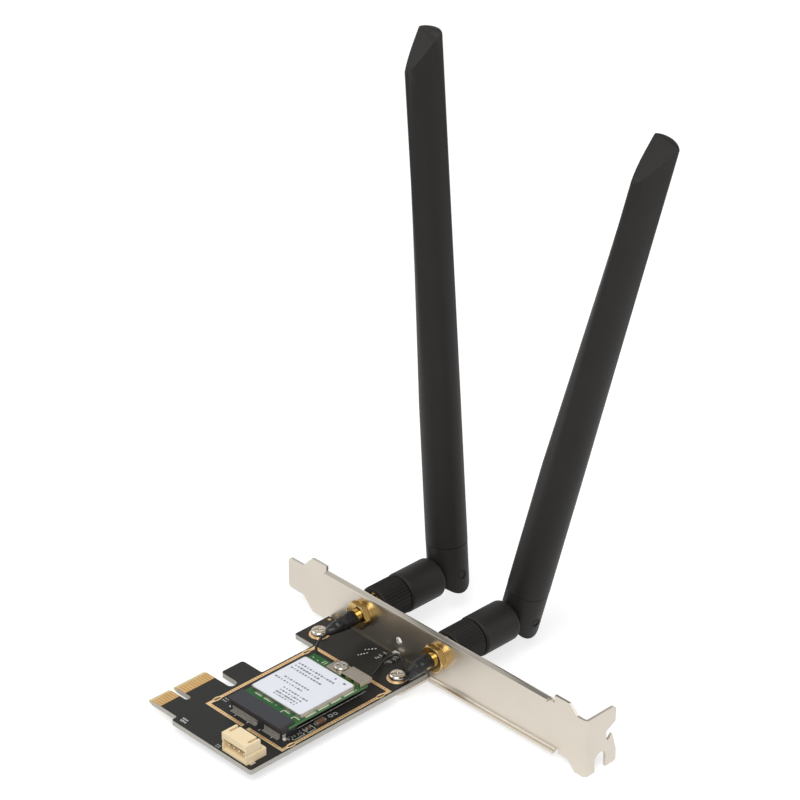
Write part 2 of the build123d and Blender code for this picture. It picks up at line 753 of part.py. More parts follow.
def module_standoff():
    """The stepped standoff under the module's end."""
    body = post(MODULE_END_X, MODULE_MID_Y, BOARD_TOP, MODULE_UNDER, STANDOFF_DIAMETER)
    body += post(MODULE_END_X, MODULE_MID_Y, MODULE_UNDER, MODULE_TOP, STANDOFF_NECK)
    return body - post(MODULE_END_X, MODULE_MID_Y, BOARD_TOP, MODULE_TOP, CLIP_SCREW_SHANK + 2 * SLIP)


def header_box():
    """The corners of the cable header's body, as x0, x1, y0, y1."""
    x0 = BOARD_BACK_X + HEADER_FRONT_INSET
    y0 = BOARD_NEAR_Y + HEADER_NEAR_INSET
    return x0, x0 + HEADER_DEPTH, y0, y0 + HEADER_WIDTH


def header_pins():
    """Square pins that lie in the header's mouth and turn down to the board behind it."""
    x0, x1, y0, y1 = header_box()
    z = BOARD_TOP + HEADER_PIN_HEIGHT
    half = HEADER_PIN / 2
    heel = x1 + HEADER_WING / 2
    first = (y0 + y1) / 2 - (HEADER_PINS - 1) * HEADER_PIN_PITCH / 2
    pieces = []
    for i in range(HEADER_PINS):
        y = first + i * HEADER_PIN_PITCH
        flat = block(x0 + HEADER_FLOOR, heel, y - half, y + half, z - half, z + half)
        leg = block(heel - HEADER_PIN, heel, y - half, y + half, BOARD_TOP, z + half)
        pieces.append(flat + leg)
    return pieces


def header_housing():
    """The header's moulded body, open towards the board's free end."""
    x0, x1, y0, y1 = header_box()
    top = BOARD_TOP + HEADER_HEIGHT
    body = block(x0, x1, y0, y1, BOARD_TOP, top)
    body += block(x1, x1 + HEADER_WING, y0, y1, BOARD_TOP, BOARD_TOP + HEADER_WING_HEIGHT)
    floor = BOARD_TOP + HEADER_FLOOR
    mouth_end = x1 - HEADER_BACK_WALL
    body -= block(
        x0, mouth_end, y0 + HEADER_WALL, y1 - HEADER_WALL, floor, floor + HEADER_MOUTH_HEIGHT)
    for y in (y0 + HEADER_SLOT_INSET, y1 - HEADER_SLOT_INSET):
        half = HEADER_SLOT_WIDTH / 2
        body -= block(
            x1 - HEADER_SLOT_LENGTH, x1, y - half, y + half, floor + HEADER_MOUTH_HEIGHT, top)
    groove = floor + HEADER_MOUTH_HEIGHT / 2
    for low, high in ((y0, y0 + HEADER_GROOVE), (y1 - HEADER_GROOVE, y1)):
        body -= block(x0, x1, low, high, groove, groove + HEADER_GROOVE_HEIGHT)
    for pin in header_pins():
        body -= pin
    return body


def header_tabs():
    """Solder tabs at the header's sides."""
    x0, x1, y0, y1 = header_box()
    start = x0 + HEADER_FLOOR
    pieces = []
    for wall, toe in ((y0, y0 - HEADER_TAB_REACH), (y1, y1 + HEADER_TAB_REACH)):
        low, high = sorted((wall, toe))
        pieces.append(block(
            start, start + HEADER_TAB_LENGTH, low, high, BOARD_TOP, BOARD_TOP + HEADER_TAB_SHEET))
    return pieces


def chip(x, y, length, width, height):
    """The middle of a chip part, between its end caps."""
    half = length / 2 - CHIP_CAP
    return block(x - half, x + half, y - width / 2, y + width / 2, BOARD_TOP, BOARD_TOP + height)


def chip_ends(x, y, length, width, height):
    """The two metal end caps of a chip part."""
    caps = []
    for side in (-1, 1):
        low, high = sorted((side * length / 2, side * (length / 2 - CHIP_CAP)))
        caps.append(block(
            x + low, x + high, y - width / 2, y + width / 2, BOARD_TOP, BOARD_TOP + height))
    return caps


def near_row(rows):
    """Chip parts in the row between the module and the board's near edge."""
    y = BOARD_NEAR_Y + FRAME_INSET + FRAME_STRIP + NEAR_ROW_GAP
    return [(FRAME_BACK_X + place, y, length, width, height) for place, length, width, height in rows]


def bracket_chips():
    """The two chip parts beside the bracket."""
    size = (BRACKET_CHIP_LENGTH, BRACKET_CHIP_WIDTH, BRACKET_CHIP_HEIGHT)
    return [(BRACKET_X - setback, BOARD_NEAR_Y + inset, *size) for setback, inset in BRACKET_CHIPS]


def lamp():
    """The indicator lamp at the board's front edge, with its lens towards the bracket."""
    x1 = BOARD_FRONT_X - SLIP
    x0 = x1 - LAMP_DEPTH
    y = BOARD_NEAR_Y + LAMP_INSET
    body = block(x0, x1, y - LAMP_LENGTH / 2, y + LAMP_LENGTH / 2, BOARD_TOP, BOARD_TOP + LAMP_HEIGHT)
    lens = Pos(x1, y, BOARD_TOP + LAMP_HEIGHT / 2) * rod_x(0, BOARD_BRACKET_GAP / 2, LAMP_LENS)
    return body + lens


def fold(y0, y1, bend_z, bend, reach, up):
    """A flange folded inward from the bracket's plate along a line at bend_z, upwards or downwards."""
    outer = BRACKET_X + SHEET
    centre = outer - bend
    inner_bend = bend - SHEET
    end = BRACKET_X - reach
    way = 1 if up else -1
    slant = sin(pi / 4)
    face_z = bend_z + way * bend
    back_z = bend_z + way * inner_bend
    outer_middle = (centre + bend * slant, bend_z + way * bend * slant)
    inner_middle = (centre + inner_bend * slant, bend_z + way * inner_bend * slant)
    edges = [
        ThreePointArc((outer, bend_z), outer_middle, (centre, face_z)),
        Line((centre, face_z), (end, face_z)),
        Line((end, face_z), (end, back_z)),
        Line((end, back_z), (centre, back_z)),
        ThreePointArc((centre, back_z), inner_middle, (BRACKET_X, bend_z)),
        Line((BRACKET_X, bend_z), (outer, bend_z)),
    ]
    return slab_y(make_face(edges), y0, y1)


def bracket_plate():
    """The bracket's flat face, with its tongue, shoulders and the ramp to the screw tab."""
    middle = PLATE_LOW_Z + PLATE_WIDTH / 2
    half = TONGUE_WIDTH / 2
    bend_z = PLATE_TOP_Z - FLANGE_DROP - FLANGE_BEND
    tab_top = TAB_LOW_Z + TAB_WIDTH
    tips = [(TONGUE_TIP_Y, middle - half), (TONGUE_TIP_Y, middle + half)]
    shape = outline(
        tips[0],
        tips[1],
        (TONGUE_ROOT_Y, middle + half),
        (TAPER_Y, PLATE_TOP_Z),
        (FLANGE_FAR_Y, PLATE_TOP_Z),
        (FLANGE_FAR_Y, bend_z),
        (FLANGE_NEAR_Y, bend_z),
        (FLANGE_NEAR_Y, PLATE_TOP_Z),
        (SHOULDER_Y, PLATE_TOP_Z),
        (RAMP_Y, tab_top),
        (TAB_EDGE_Y, tab_top),
        (TAB_EDGE_Y, TAB_LOW_Z),
        (RAMP_Y, TAB_LOW_Z),
        (SHOULDER_Y, PLATE_LOW_Z),
        (TAPER_Y, PLATE_LOW_Z),
        (TONGUE_ROOT_Y, middle - half),
    )
    shape = rounded(shape, tips, TONGUE_CORNER)
    return slab_x(shape, BRACKET_X, BRACKET_X + SHEET)


def bracket_tab():
    """The screw tab bent outward at the bracket's end, with its open slot and side notch."""
    top = TAB_LOW_Z + TAB_WIDTH
    start = BRACKET_X + TAB_BEND
    reach = BRACKET_X + TAB_REACH
    lobe = BRACKET_X + TAB_LOBE_REACH
    notch = reach - TAB_NOTCH_DEPTH
    corners = [(reach, top), (lobe, TAB_LOW_Z)]
    shape = outline(
        (start, TAB_LOW_Z),
        (start, top),
        corners[0],
        (reach, TAB_NOTCH_TOP_Z),
        (notch, TAB_NOTCH_TOP_Z - TAB_NOTCH_DEPTH / 2),
        (notch, TAB_NOTCH_LOW_Z + SHEET),
        (notch + SHEET, TAB_NOTCH_LOW_Z),
        (BRACKET_X + TAB_HOOK_REACH, TAB_HOOK_Z),
        (lobe, TAB_LOBE_Z),
        corners[1],
    )
    shape = rounded(shape, corners, TAB_CORNER)
    slot_x = BRACKET_X + TAB_SLOT_X
    round_z = TAB_SLOT_TOP_Z - TAB_SLOT_WIDTH / 2
    shape -= Pos(slot_x, round_z) * Circle(TAB_SLOT_WIDTH / 2)
    depth = round_z - TAB_LOW_Z + SHEET
    shape -= Pos(slot_x, round_z - depth / 2) * Rectangle(TAB_SLOT_WIDTH, depth)
    flat = slab_y(shape, TAB_Y, TAB_Y + SHEET)
    centre = (BRACKET_X + TAB_BEND, TAB_Y + TAB_BEND)
    inner_bend = TAB_BEND - SHEET
    slant = sin(pi / 4)
    edges = [
        ThreePointArc(
            (BRACKET_X, centre[1]),
            (centre[0] - TAB_BEND * slant, centre[1] - TAB_BEND * slant),
            (centre[0], TAB_Y)),
        Line((centre[0], TAB_Y), (centre[0], TAB_Y + SHEET)),
        ThreePointArc(
            (centre[0], TAB_Y + SHEET),
            (centre[0] - inner_bend * slant, centre[1] - inner_bend * slant),
            (BRACKET_X + SHEET, centre[1])),
        Line((BRACKET_X + SHEET, centre[1]), (BRACKET_X, centre[1])),
    ]
    return flat + slab_z(make_face(edges), TAB_LOW_Z, top)


def bracket():
    """The bracket: plate, screw tab, two long flanges and two ears under the board."""
    top_bend = PLATE_TOP_Z - FLANGE_DROP - FLANGE_BEND
    part = bracket_plate() + bracket_tab()
    part += fold(
        FLANGE_NEAR_Y + RELIEF, FLANGE_FAR_Y - RELIEF, top_bend, FLANGE_BEND, FLANGE_REACH, True)
    ear_bend = BOARD_UNDER - SHEET + EAR_BEND
    below = PLATE_LOW_Z - EAR_BEND
    for x, y in (NEAR_SCREW, FAR_SCREW):
        y0 = y - EAR_WIDTH / 2
        y1 = y + EAR_WIDTH / 2
        part -= block(BRACKET_X, BRACKET_X + SHEET, y0 - RELIEF, y1 + RELIEF, below, ear_bend)
        ear = fold(y0, y1, ear_bend, EAR_BEND, BRACKET_X - x + EAR_OVERHANG, False)
        ear = fillet(ear.edges().filter_by(Axis.Z).group_by(Axis.X)[0], EAR_CORNER)
        part += ear - post(x, y, BOARD_UNDER - SHEET, BOARD_UNDER, SCREW_SHANK + 2 * SLIP)
    flange_far = NEAR_SCREW[1] - EAR_WIDTH / 2 - RELIEF
    low_bend = PLATE_LOW_Z + FLANGE_BEND
    near = SHOULDER_Y + LOWER_SHOULDER
    part -= block(BRACKET_X, BRACKET_X + SHEET, near - RELIEF, flange_far + SLIP, below, low_bend)
    part += fold(near, flange_far, low_bend, FLANGE_BEND, LOWER_FLANGE_REACH, False)
    for y in (LEFT_JACK_Y, RIGHT_JACK_Y):
        hole = rod_x(0, SHEET, JACK_THREAD + 2 * RUN_GAP)
        part -= Pos(BRACKET_X, y, JACK_Z) * hole
    part -= Pos(BRACKET_X, BOARD_NEAR_Y + LAMP_INSET, LAMP_HOLE_Z) * rod_x(0, SHEET, LAMP_HOLE)
    return part


def bracket_screws():
    """The two screws that hold the board on the bracket's ears."""
    seat = BOARD_TOP + PLATING
    tip = BOARD_UNDER - SHEET - SCREW_TIP
    return [
        pan_screw(x, y, seat, SCREW_HEAD, SCREW_HEAD_HEIGHT, SCREW_SHANK, tip)
        for x, y in (NEAR_SCREW, FAR_SCREW)
    ]


# The jack and aerial pieces are drawn about the X axis, with x measured from the bracket's inner face.


def jack_body():
    """The jack: hexagon behind the bracket, threaded barrel through it, crimp stem to the back."""
    body = hex_x(HEX_BACK, -JACK_WASHER, JACK_HEX)
    edge = JACK_THREAD / 2
    body += turned(
        (-JACK_WASHER, 0), (JACK_REACH, 0), (JACK_REACH, edge - RUN_GAP), (JACK_REACH - RUN_GAP, edge),
        (-JACK_WASHER, edge))
    body += rod_x(FERRULE_END, HEX_BACK, JACK_STEM)
    body -= rod_x(MOUTH_END, JACK_REACH, JACK_MOUTH)
    return body - rod_x(-JACK_WASHER, MOUTH_END, JACK_CORE)


def jack_insulator():
    """The insulator in the jack, with a hole for the centre pin."""
    return tube_x(-JACK_WASHER, MOUTH_END, JACK_CORE, JACK_PIN)


def jack_pin():
    """The centre pin that stands in the jack's mouth."""
    return rod_x(-JACK_WASHER, JACK_REACH - JACK_PIN_SHORT, JACK_PIN)


def jack_washer():
    """The washer between the jack's hexagon and the bracket."""
    return tube_x(-JACK_WASHER, 0, JACK_WASHER_DIAMETER, JACK_THREAD + 2 * SLIP)


def jack_nut():
    """The nut that clamps the jack from outside the bracket."""
    end = SHEET + JACK_NUT_LENGTH
    return hex_x(SHEET, end, JACK_HEX) - rod_x(SHEET, end, JACK_THREAD + 2 * SLIP)


def ferrule():
    """The crimp ferrule on the jack's stem."""
    return tube_x(FERRULE_END, HEX_BACK, FERRULE, JACK_STEM)


def heat_shrink(jack, stations, route):
    """The sleeve shrunk over the ferrule, drawn down to the coax at its end."""
    coax = Vector(*route[0]) - Vector(*jack)
    outer = FERRULE / 2 + SHRINK_WALL
    points = [(FERRULE_END, 0, 0, outer)] + list(stations)
    sections = []
    for i, (x, y, z, radius) in enumerate(points):
        here = Vector(x, y, z)
        facing = Vector(-1, 0, 0)
        if i == len(points) - 1:
            facing = coax - here
        elif i > 0:
            facing = Vector(*points[i + 1][:3]) - Vector(*points[i - 1][:3])
        sections.append(Plane(here, x_dir=(0, 0, 1), z_dir=facing) * Circle(radius))
    lap = tube_x(FERRULE_END, FERRULE_END + SHRINK_LAP, 2 * outer, FERRULE)
    return lap + loft(sections)


def at_jacks(shape):
    """The same piece on both jacks."""
    return [Pos(*place) * shape for place in (LEFT_JACK, RIGHT_JACK)]


def coupling_ring():
    """The ring that the fingers turn, with straight ridges round it."""
    rim = RING_DIAMETER / 2
    count = 2 * RING_RIDGES
    radii = (rim, rim - RIDGE_DEPTH)
    star = outline(*[
        (radii[i % 2] * cos(2 * pi * i / count), radii[i % 2] * sin(2 * pi * i / count))
        for i in range(count)
    ])
    waist = rim - RIDGE_DEPTH
    envelope = turned(
        (RING_START, 0), (RING_END, 0), (RING_END, waist), (RING_END - RING_CHAMFER, rim),
        (RING_START + RING_CHAMFER, rim), (RING_START, waist))
    ring = slab_x(star, RING_START, RING_END) & envelope
    ring -= rod_x(RING_START, NUT_END, RING_MOUTH)
    return ring - rod_x(NUT_END, RING_END, SPIGOT_NECK + 2 * RUN_GAP)


def coupling_nut():
    """The brass nut pressed in the ring: it draws the aerial's plug on to the jack."""
    start = RING_START + RING_MOUTH_DEPTH
    nut = tube_x(start, NUT_END, RING_MOUTH, SPIGOT_NECK + 2 * SLIP)
    return nut - rod_x(start, NUT_SHOULDER, JACK_THREAD + 4 * SLIP)


def plug_body():
    """The aerial's plug: spigot in the jack's mouth, flange behind the nut, root in the barrel."""
    flange = JACK_REACH + SLIP
    tip = flange - SPIGOT_LENGTH
    spigot = JACK_MOUTH / 2 - SLIP
    neck = SPIGOT_NECK / 2
    root = PLUG_BODY / 2
    end = BARREL_START + PLUG_BODY_LENGTH
    bore = SPIGOT_BORE / 2
    seat = flange + SPIGOT_FLANGE
    collar = JACK_THREAD / 2 - SLIP
    return turned(
        (tip, bore), (end, bore), (end, root), (BARREL_START, root), (BARREL_START, neck), (seat, neck),
        (seat, collar), (flange, collar), (flange, spigot), (tip, spigot))


def plug_insulator():
    """The insulator in the aerial's plug."""
    tip = JACK_REACH + SLIP - SPIGOT_LENGTH
    return tube_x(tip, BARREL_START + PLUG_BODY_LENGTH, SPIGOT_BORE, SOCKET_CONTACT)


def plug_contact():
    """The centre socket that slides over the jack's pin."""
    tip = JACK_REACH + SLIP - SPIGOT_LENGTH
    end = BARREL_START + PLUG_BODY_LENGTH
    contact = rod_x(tip, end, SOCKET_CONTACT)
    return contact - rod_x(tip, JACK_REACH + SLIP, JACK_PIN + 2 * SLIP)


def barrel():
    """The aerial's swivelling foot, with the hinge tongue at its end."""
    rim = BARREL_DIAMETER / 2
    body = turned(
        (BARREL_START, 0), (BARREL_END, 0), (BARREL_END, rim), (BARREL_START + BARREL_LIP, rim),
        (BARREL_START, rim - BARREL_LIP))
    body = fillet(body.edges().filter_by(GeomType.CIRCLE).group_by(Axis.X)[-1], BARREL_ROUND)
    half = HINGE_TONGUE_ROUND
    side = Pos((BARREL_END + PIVOT_X) / 2, 0) * Rectangle(PIVOT_X - BARREL_END + 2 * SLIP, 2 * half)
    side += Pos(PIVOT_X, 0) * Circle(half)
    side -= Pos(PIVOT_X, 0) * Circle(HINGE_PIN / 2 + SLIP)
    body += slab_y(side, -HINGE_TONGUE / 2, HINGE_TONGUE / 2)
    root = BARREL_START + PLUG_BODY_LENGTH
    body -= rod_x(BARREL_START, root, PLUG_BODY)
    return body - rod_x(root, BARREL_END - BARREL_ROUND, BARREL_BORE)


def at_pivot(shape):
    """A shape drawn about the hinge, moved to the hinge."""
    return Pos(PIVOT_X, 0, 0) * shape


def hinge_pin():
    """The pin through both cheeks of the knuckle."""
    length = BARREL_DIAMETER - 2 * HINGE_PIN_SINK
    return at_pivot(Rot(90, 0, 0) * Cylinder(HINGE_PIN / 2, length))


def knuckle():
    """The hinged foot of the blade: two cheeks round the barrel's tongue, and a neck for the sleeve."""
    rim = BARREL_DIAMETER / 2
    wide = 2 * rim
    seam = SEAM_RISE
    side = Pos(0, seam / 2) * Rectangle(2 * KNUCKLE_ROUND, seam) + Circle(KNUCKLE_ROUND)
    side += Pos(rim / 2, seam / 2) * Rectangle(rim, seam)
    body = slab_y(side, -wide, wide)
    body &= Cylinder(rim, 4 * seam)
    neck = AERIAL_ROOT / 2 - AERIAL_WALL - SLIP
    body += Pos(0, 0, seam + NECK_RISE / 2) * Cylinder(neck, NECK_RISE)
    sweep_round = HINGE_TONGUE_ROUND + RUN_GAP
    slot = Circle(sweep_round)
    slot += Pos(-rim, -rim + sweep_round / 2) * Rectangle(2 * rim, 2 * rim + sweep_round)
    slot += Pos(sweep_round / 2 - rim / 2, -rim) * Rectangle(sweep_round + rim, 2 * rim)
    body -= slab_y(slot, -HINGE_SLOT / 2, HINGE_SLOT / 2)
    body -= Rot(90, 0, 0) * Cylinder(HINGE_PIN / 2, 2 * wide)
    socket_floor = seam + NECK_RISE - RADIATOR_SOCKET
    body -= Pos(0, 0, socket_floor + NECK_RISE / 2) * Cylinder(RADIATOR_TUBE / 2, NECK_RISE)
    return at_pivot(body)


def keel_section():
    """Half of the blade's section near its tip, as vertices and the middles of the arcs between them.

    A sharp keel faces the card, two flats spread from it, and a round back closes them."""
    turn = radians(KEEL_ANGLE)
    normal = Vector(-sin(turn), cos(turn))
    along = Vector(cos(turn), sin(turn))
    keel_middle = Vector(KEEL_EDGE - KEEL_REACH, 0)
    keel_end = keel_middle + normal * KEEL_EDGE
    flat = keel_end.dot(normal)
    inner = BACK_ROUND - BACK_CORNER
    depth = flat - BACK_CORNER
    corner_middle = normal * depth + along * sqrt(inner * inner - depth * depth)
    flat_end = corner_middle + normal * BACK_CORNER
    back_end = corner_middle * (BACK_ROUND / inner)
    corner_way = (normal + corner_middle.normalized()).normalized()
    keel_tip = Vector(-KEEL_REACH, 0)
    flat_bulge = (keel_end + flat_end) * 0.5 + normal * FLAT_CROWN
    corner_bulge = corner_middle + corner_way * BACK_CORNER
    return [keel_tip, keel_end, flat_bulge, flat_end, corner_bulge, back_end, Vector(BACK_ROUND, 0)]


def blade_section(z, radius, keel):
    """The blade's section at a height: a circle where keel is 0, the keeled section where it is 1."""
    half = keel_section()
    ring = half + [Vector(p.X, -p.Y) for p in reversed(half[1:-1])]
    points = []
    for p in ring:
        circle = p.normalized() * radius
        mixed = circle * (1 - keel) + p * keel
        points.append((mixed.X, mixed.Y, z))
    points = points[1:] + points[:1]
    count = len(points)
    edges = [
        ThreePointArc(points[i], points[i + 1], points[(i + 2) % count])
        for i in range(0, count, 2)
    ]
    return make_face(edges)


def sleeve():
    """The aerial's long hollow sleeve: round at its foot, keeled towards its slanted tip."""
    low = SEAM_RISE + SEAM_GROOVE
    root = AERIAL_ROOT / 2
    waist = AERIAL_ROUND / 2
    foot = loft([blade_section(low, root, 0), blade_section(AERIAL_ROUND_TOP, waist, 0)], ruled=True)
    blade = loft(
        [blade_section(AERIAL_ROUND_TOP, waist, 0), blade_section(AERIAL_LENGTH, waist, 1)], ruled=True)
    edge = BACK_ROUND + TIP_MARGIN
    rise = tan(radians(TIP_ANGLE))
    nose = (edge, AERIAL_LENGTH + TIP_MARGIN)
    wide = 2 * AERIAL_ROOT
    keep = outline(
        (edge + AERIAL_ROOT, AERIAL_ROUND_TOP - wide),
        nose,
        (-wide, nose[1] - (edge + wide) * rise),
        (-wide, AERIAL_ROUND_TOP - wide),
    )
    keep = rounded(keep, [nose], TIP_ROUND)
    blade &= slab_y(keep, -wide, wide)
    inner = root - AERIAL_WALL
    neck_top = SEAM_RISE + NECK_RISE + SLIP
    cavity = outline(
        (0, low), (inner, low), (inner, neck_top), (CAVITY_TIP, CAVITY_TOP), (0, CAVITY_TOP))
    return at_pivot(foot + blade - revolve(Plane.XZ * cavity, Axis.Z))


def radiator():
    """The brass radiator inside the sleeve, seated in the knuckle's neck."""
    foot = SEAM_RISE + NECK_RISE - RADIATOR_SOCKET
    wide = RADIATOR_TUBE / 2
    thin = RADIATOR_ROD / 2
    return at_pivot(revolve(
        Plane.XZ * outline(
            (0, foot), (wide, foot), (wide, RADIATOR_TUBE_TOP), (thin, RADIATOR_TUBE_TOP),
            (thin, RADIATOR_TOP), (0, RADIATOR_TOP)),
        Axis.Z))


def pigtail_coax(name, jack, stations, route, plug_y):
    """The thin coax from the heat-shrink sleeve to its plug: straight runs joined by wide arcs."""
    end = Vector(*jack) + Vector(*stations[-1][:3])
    plug_end = Vector(PLUG_X + PLUG_NECK_LENGTH, plug_y, MODULE_TOP + SLIP + PLUG_HEIGHT / 2)
    points = [end] + [Vector(*p) for p in route] + [plug_end]
    radii = []
    for before, here, after in zip(points, points[1:], points[2:]):
        shorter = min((here - before).length, (after - here).length)
        turn = (here - before).get_angle(after - here)
        radii.append(ARC_SHARE * shorter / tan(radians(turn / 2)))
    path = FilletPolyline(*points, radius=radii)
    print(name, "length", round(path.length, 1), "radii", [round(r, 1) for r in radii])
    return sweep(Plane(path @ 0, z_dir=path % 0) * Circle(COAX / 2), path=path)


# Every piece by name
pieces = {
    "board": board(),
    "edge_contacts": edge_contacts(),
    "bare_copper": bare_copper(),
    "module_socket_housing": socket_housing(),
    "module_socket_contacts": socket_contacts(),
    "module_socket_tabs": socket_tabs(),
    "module_board": module_board(),
    "module_shield": module_shield(),
    "module_label": module_label(),
    "module_radio_chip": radio_chip(),
    "module_small_parts": module_parts(),
    "module_jacks": module_jacks(),
    "module_clip": module_clip(),
    "module_screw": module_screw(),
    "module_standoff": module_standoff(),
    "header_housing": header_housing(),
    "header_pins": header_pins(),
    "header_tabs": header_tabs(),
    "chip_resistors": [chip(*c) for c in near_row(RESISTORS) + bracket_chips()],
    "chip_capacitors": [chip(*c) for c in near_row(CAPACITORS)],
    "chip_end_caps": [
        cap for c in near_row(RESISTORS + CAPACITORS) + bracket_chips() for cap in chip_ends(*c)
    ],
    "indicator_lamp": lamp(),
    "bracket": bracket(),
    "bracket_screws": bracket_screws(),
    "crimp_ferrules": at_jacks(ferrule()),
    "jack_washers": at_jacks(jack_washer()),
    "jack_nuts": at_jacks(jack_nut()),
}

SIDES = {
    "left": (LEFT_JACK, LEFT_LEAN, LEFT_BACKED_OFF, LEFT_SHRINK, LEFT_ROUTE, PLUG_YS[0]),
    "right": (RIGHT_JACK, RIGHT_LEAN, RIGHT_BACKED_OFF, RIGHT_SHRINK, RIGHT_ROUTE, PLUG_YS[1]),
}
for side, (jack, lean, backed_off, stations, route, plug_y) in SIDES.items():
    at_jack = Pos(*jack)
    swivelled = at_jack * Pos(backed_off, 0, 0) * Rot(lean, 0, 0)
    pieces["pigtail_plug_" + side] = pigtail_plug(plug_y)
    pieces["pigtail_coax_" + side] = pigtail_coax(side, jack, stations, route, plug_y)
    pieces["heat_shrink_" + side] = at_jack * heat_shrink(jack, stations, route)
    pieces["jack_body_" + side] = at_jack * jack_body()
    pieces["jack_insulator_" + side] = at_jack * jack_insulator()
    pieces["jack_pin_" + side] = at_jack * jack_pin()
    pieces["coupling_ring_" + side] = swivelled * coupling_ring()
    pieces["coupling_nut_" + side] = swivelled * coupling_nut()
    pieces["plug_body_" + side] = swivelled * plug_body()
    pieces["plug_insulator_" + side] = swivelled * plug_insulator()
    pieces["plug_contact_" + side] = swivelled * plug_contact()
    pieces["hinge_barrel_" + side] = swivelled * barrel()
    pieces["hinge_pin_" + side] = swivelled * hinge_pin()
    pieces["aerial_knuckle_" + side] = swivelled * knuckle()
    pieces["aerial_sleeve_" + side] = swivelled * sleeve()
    pieces["aerial_radiator_" + side] = swivelled * radiator()

os.makedirs("parts", exist_ok=True)
for name, piece in pieces.items():
    solid = Compound(list(piece)) if isinstance(piece, list) else piece
    export_step(solid, "parts/" + name + ".step")
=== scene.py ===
# %% [markdown]
# # A wireless network card, dressed for a studio picture
#
# The CAD model gives every solid its exact place. This lesson loads it, lights it like a
# catalogue picture, and then gives each piece the surface that its real material has: solder
# mask, gold flash, nickel plate, moulded nylon, heat-shrink tube and textured ABS. Small printed
# things, which are too thin to be solids of their own, are added here as meshes.

# %% Load the imported model
import json
from math import cos, pi, radians, sin, sqrt

import bmesh
import bpy
from mathutils import Matrix, Vector


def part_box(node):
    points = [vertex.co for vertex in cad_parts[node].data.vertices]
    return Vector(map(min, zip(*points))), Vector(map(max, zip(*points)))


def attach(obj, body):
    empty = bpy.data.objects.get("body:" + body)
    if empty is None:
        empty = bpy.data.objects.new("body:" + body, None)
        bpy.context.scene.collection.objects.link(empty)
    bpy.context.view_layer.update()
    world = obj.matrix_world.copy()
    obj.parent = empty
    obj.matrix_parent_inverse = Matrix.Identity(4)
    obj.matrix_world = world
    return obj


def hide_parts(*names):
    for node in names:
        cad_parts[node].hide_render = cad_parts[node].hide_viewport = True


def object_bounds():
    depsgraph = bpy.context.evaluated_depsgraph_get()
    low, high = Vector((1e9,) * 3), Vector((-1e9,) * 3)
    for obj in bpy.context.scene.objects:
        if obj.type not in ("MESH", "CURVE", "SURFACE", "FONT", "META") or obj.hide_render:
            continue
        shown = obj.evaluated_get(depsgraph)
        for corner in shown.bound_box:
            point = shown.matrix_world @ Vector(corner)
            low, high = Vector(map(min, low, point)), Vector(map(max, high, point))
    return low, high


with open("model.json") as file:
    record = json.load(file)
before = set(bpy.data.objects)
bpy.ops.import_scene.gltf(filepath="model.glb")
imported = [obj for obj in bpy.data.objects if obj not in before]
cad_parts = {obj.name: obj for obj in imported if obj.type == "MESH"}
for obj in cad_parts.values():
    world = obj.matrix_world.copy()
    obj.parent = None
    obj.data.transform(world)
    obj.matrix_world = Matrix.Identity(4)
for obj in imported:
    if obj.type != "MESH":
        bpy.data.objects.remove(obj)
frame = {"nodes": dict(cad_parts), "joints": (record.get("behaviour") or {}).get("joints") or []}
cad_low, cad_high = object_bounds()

MM = 0.001
nodes = frame["nodes"]
print("nodes", len(nodes), "box in mm", [round(v / MM, 1) for v in cad_high - cad_low])

# %% [markdown]
# ## Camera
#
# The picture was taken with a long lens from above the card's free end. A camera was fitted to
# the known corners of the bracket and board, so the numbers below are its place and its three
# directions. Writing the directions as the columns of a matrix avoids working out Euler angles by
# hand.

# %% Place the camera
CAMERA_PLACE = Vector((-437.83, -543.70, 478.20)) * MM
CAMERA_RIGHT = Vector((0.7181, -0.6960, 0.0019))
CAMERA_FORWARD = Vector((0.6098, 0.6278, -0.4838))
CAMERA_LENS = 133.27
CAMERA_SENSOR = 36

right = CAMERA_RIGHT.normalized()
back = -CAMERA_FORWARD.normalized()
up = back.cross(right).normalized()
back = right.cross(up)
turned = Matrix((right, up, back)).transposed().to_4x4()
camera = bpy.data.objects.new("camera", bpy.data.cameras.new("camera"))
camera.data.lens = CAMERA_LENS
camera.data.sensor_width = CAMERA_SENSOR
camera.matrix_world = Matrix.Translation(CAMERA_PLACE) @ turned
bpy.context.scene.collection.objects.link(camera)
bpy.context.scene.camera = camera
bpy.context.scene.view_settings.view_transform = "Standard"
print("camera distance in mm", round(CAMERA_PLACE.length / MM))

# %% [markdown]
# ## Helpers
#
# Colours are easiest to read as the hex values of a paint chart, but shaders work in linear
# light, so one function converts them. The other adds a shader node with its settings and its
# links, which keeps each material down to a few readable lines.

# %% Colour and node helpers
def ink(code):
    """The linear RGBA colour of an sRGB hex value."""
    channels = [int(code[i:i + 2], 16) / 255 for i in (1, 3, 5)]
    linear = [c / 12.92 if c <= 0.04045 else ((c + 0.055) / 1.055) ** 2.4 for c in channels]
    return (*linear, 1)


def add(tree, kind, inputs=None, **settings):
    """A new node in a tree; an input is a value, or another node's output to link to."""
    made = tree.nodes.new(kind)
    for name, value in settings.items():
        setattr(made, name, value)
    for name, value in (inputs or {}).items():
        if isinstance(value, bpy.types.NodeSocket):
            tree.links.new(value, made.inputs[name])
        else:
            made.inputs[name].default_value = value
    return made


def start_material(name, **sockets):
    """A new material: itself, its tree, its shader and the object's own coordinates."""
    material = bpy.data.materials.new(name)
    material.use_nodes = True
    tree = material.node_tree
    shader = tree.nodes["Principled BSDF"]
    for socket, value in sockets.items():
        shader.inputs[socket.replace("_", " ")].default_value = value
    place = add(tree, "ShaderNodeTexCoord").outputs["Object"]
    return material, tree, shader, place


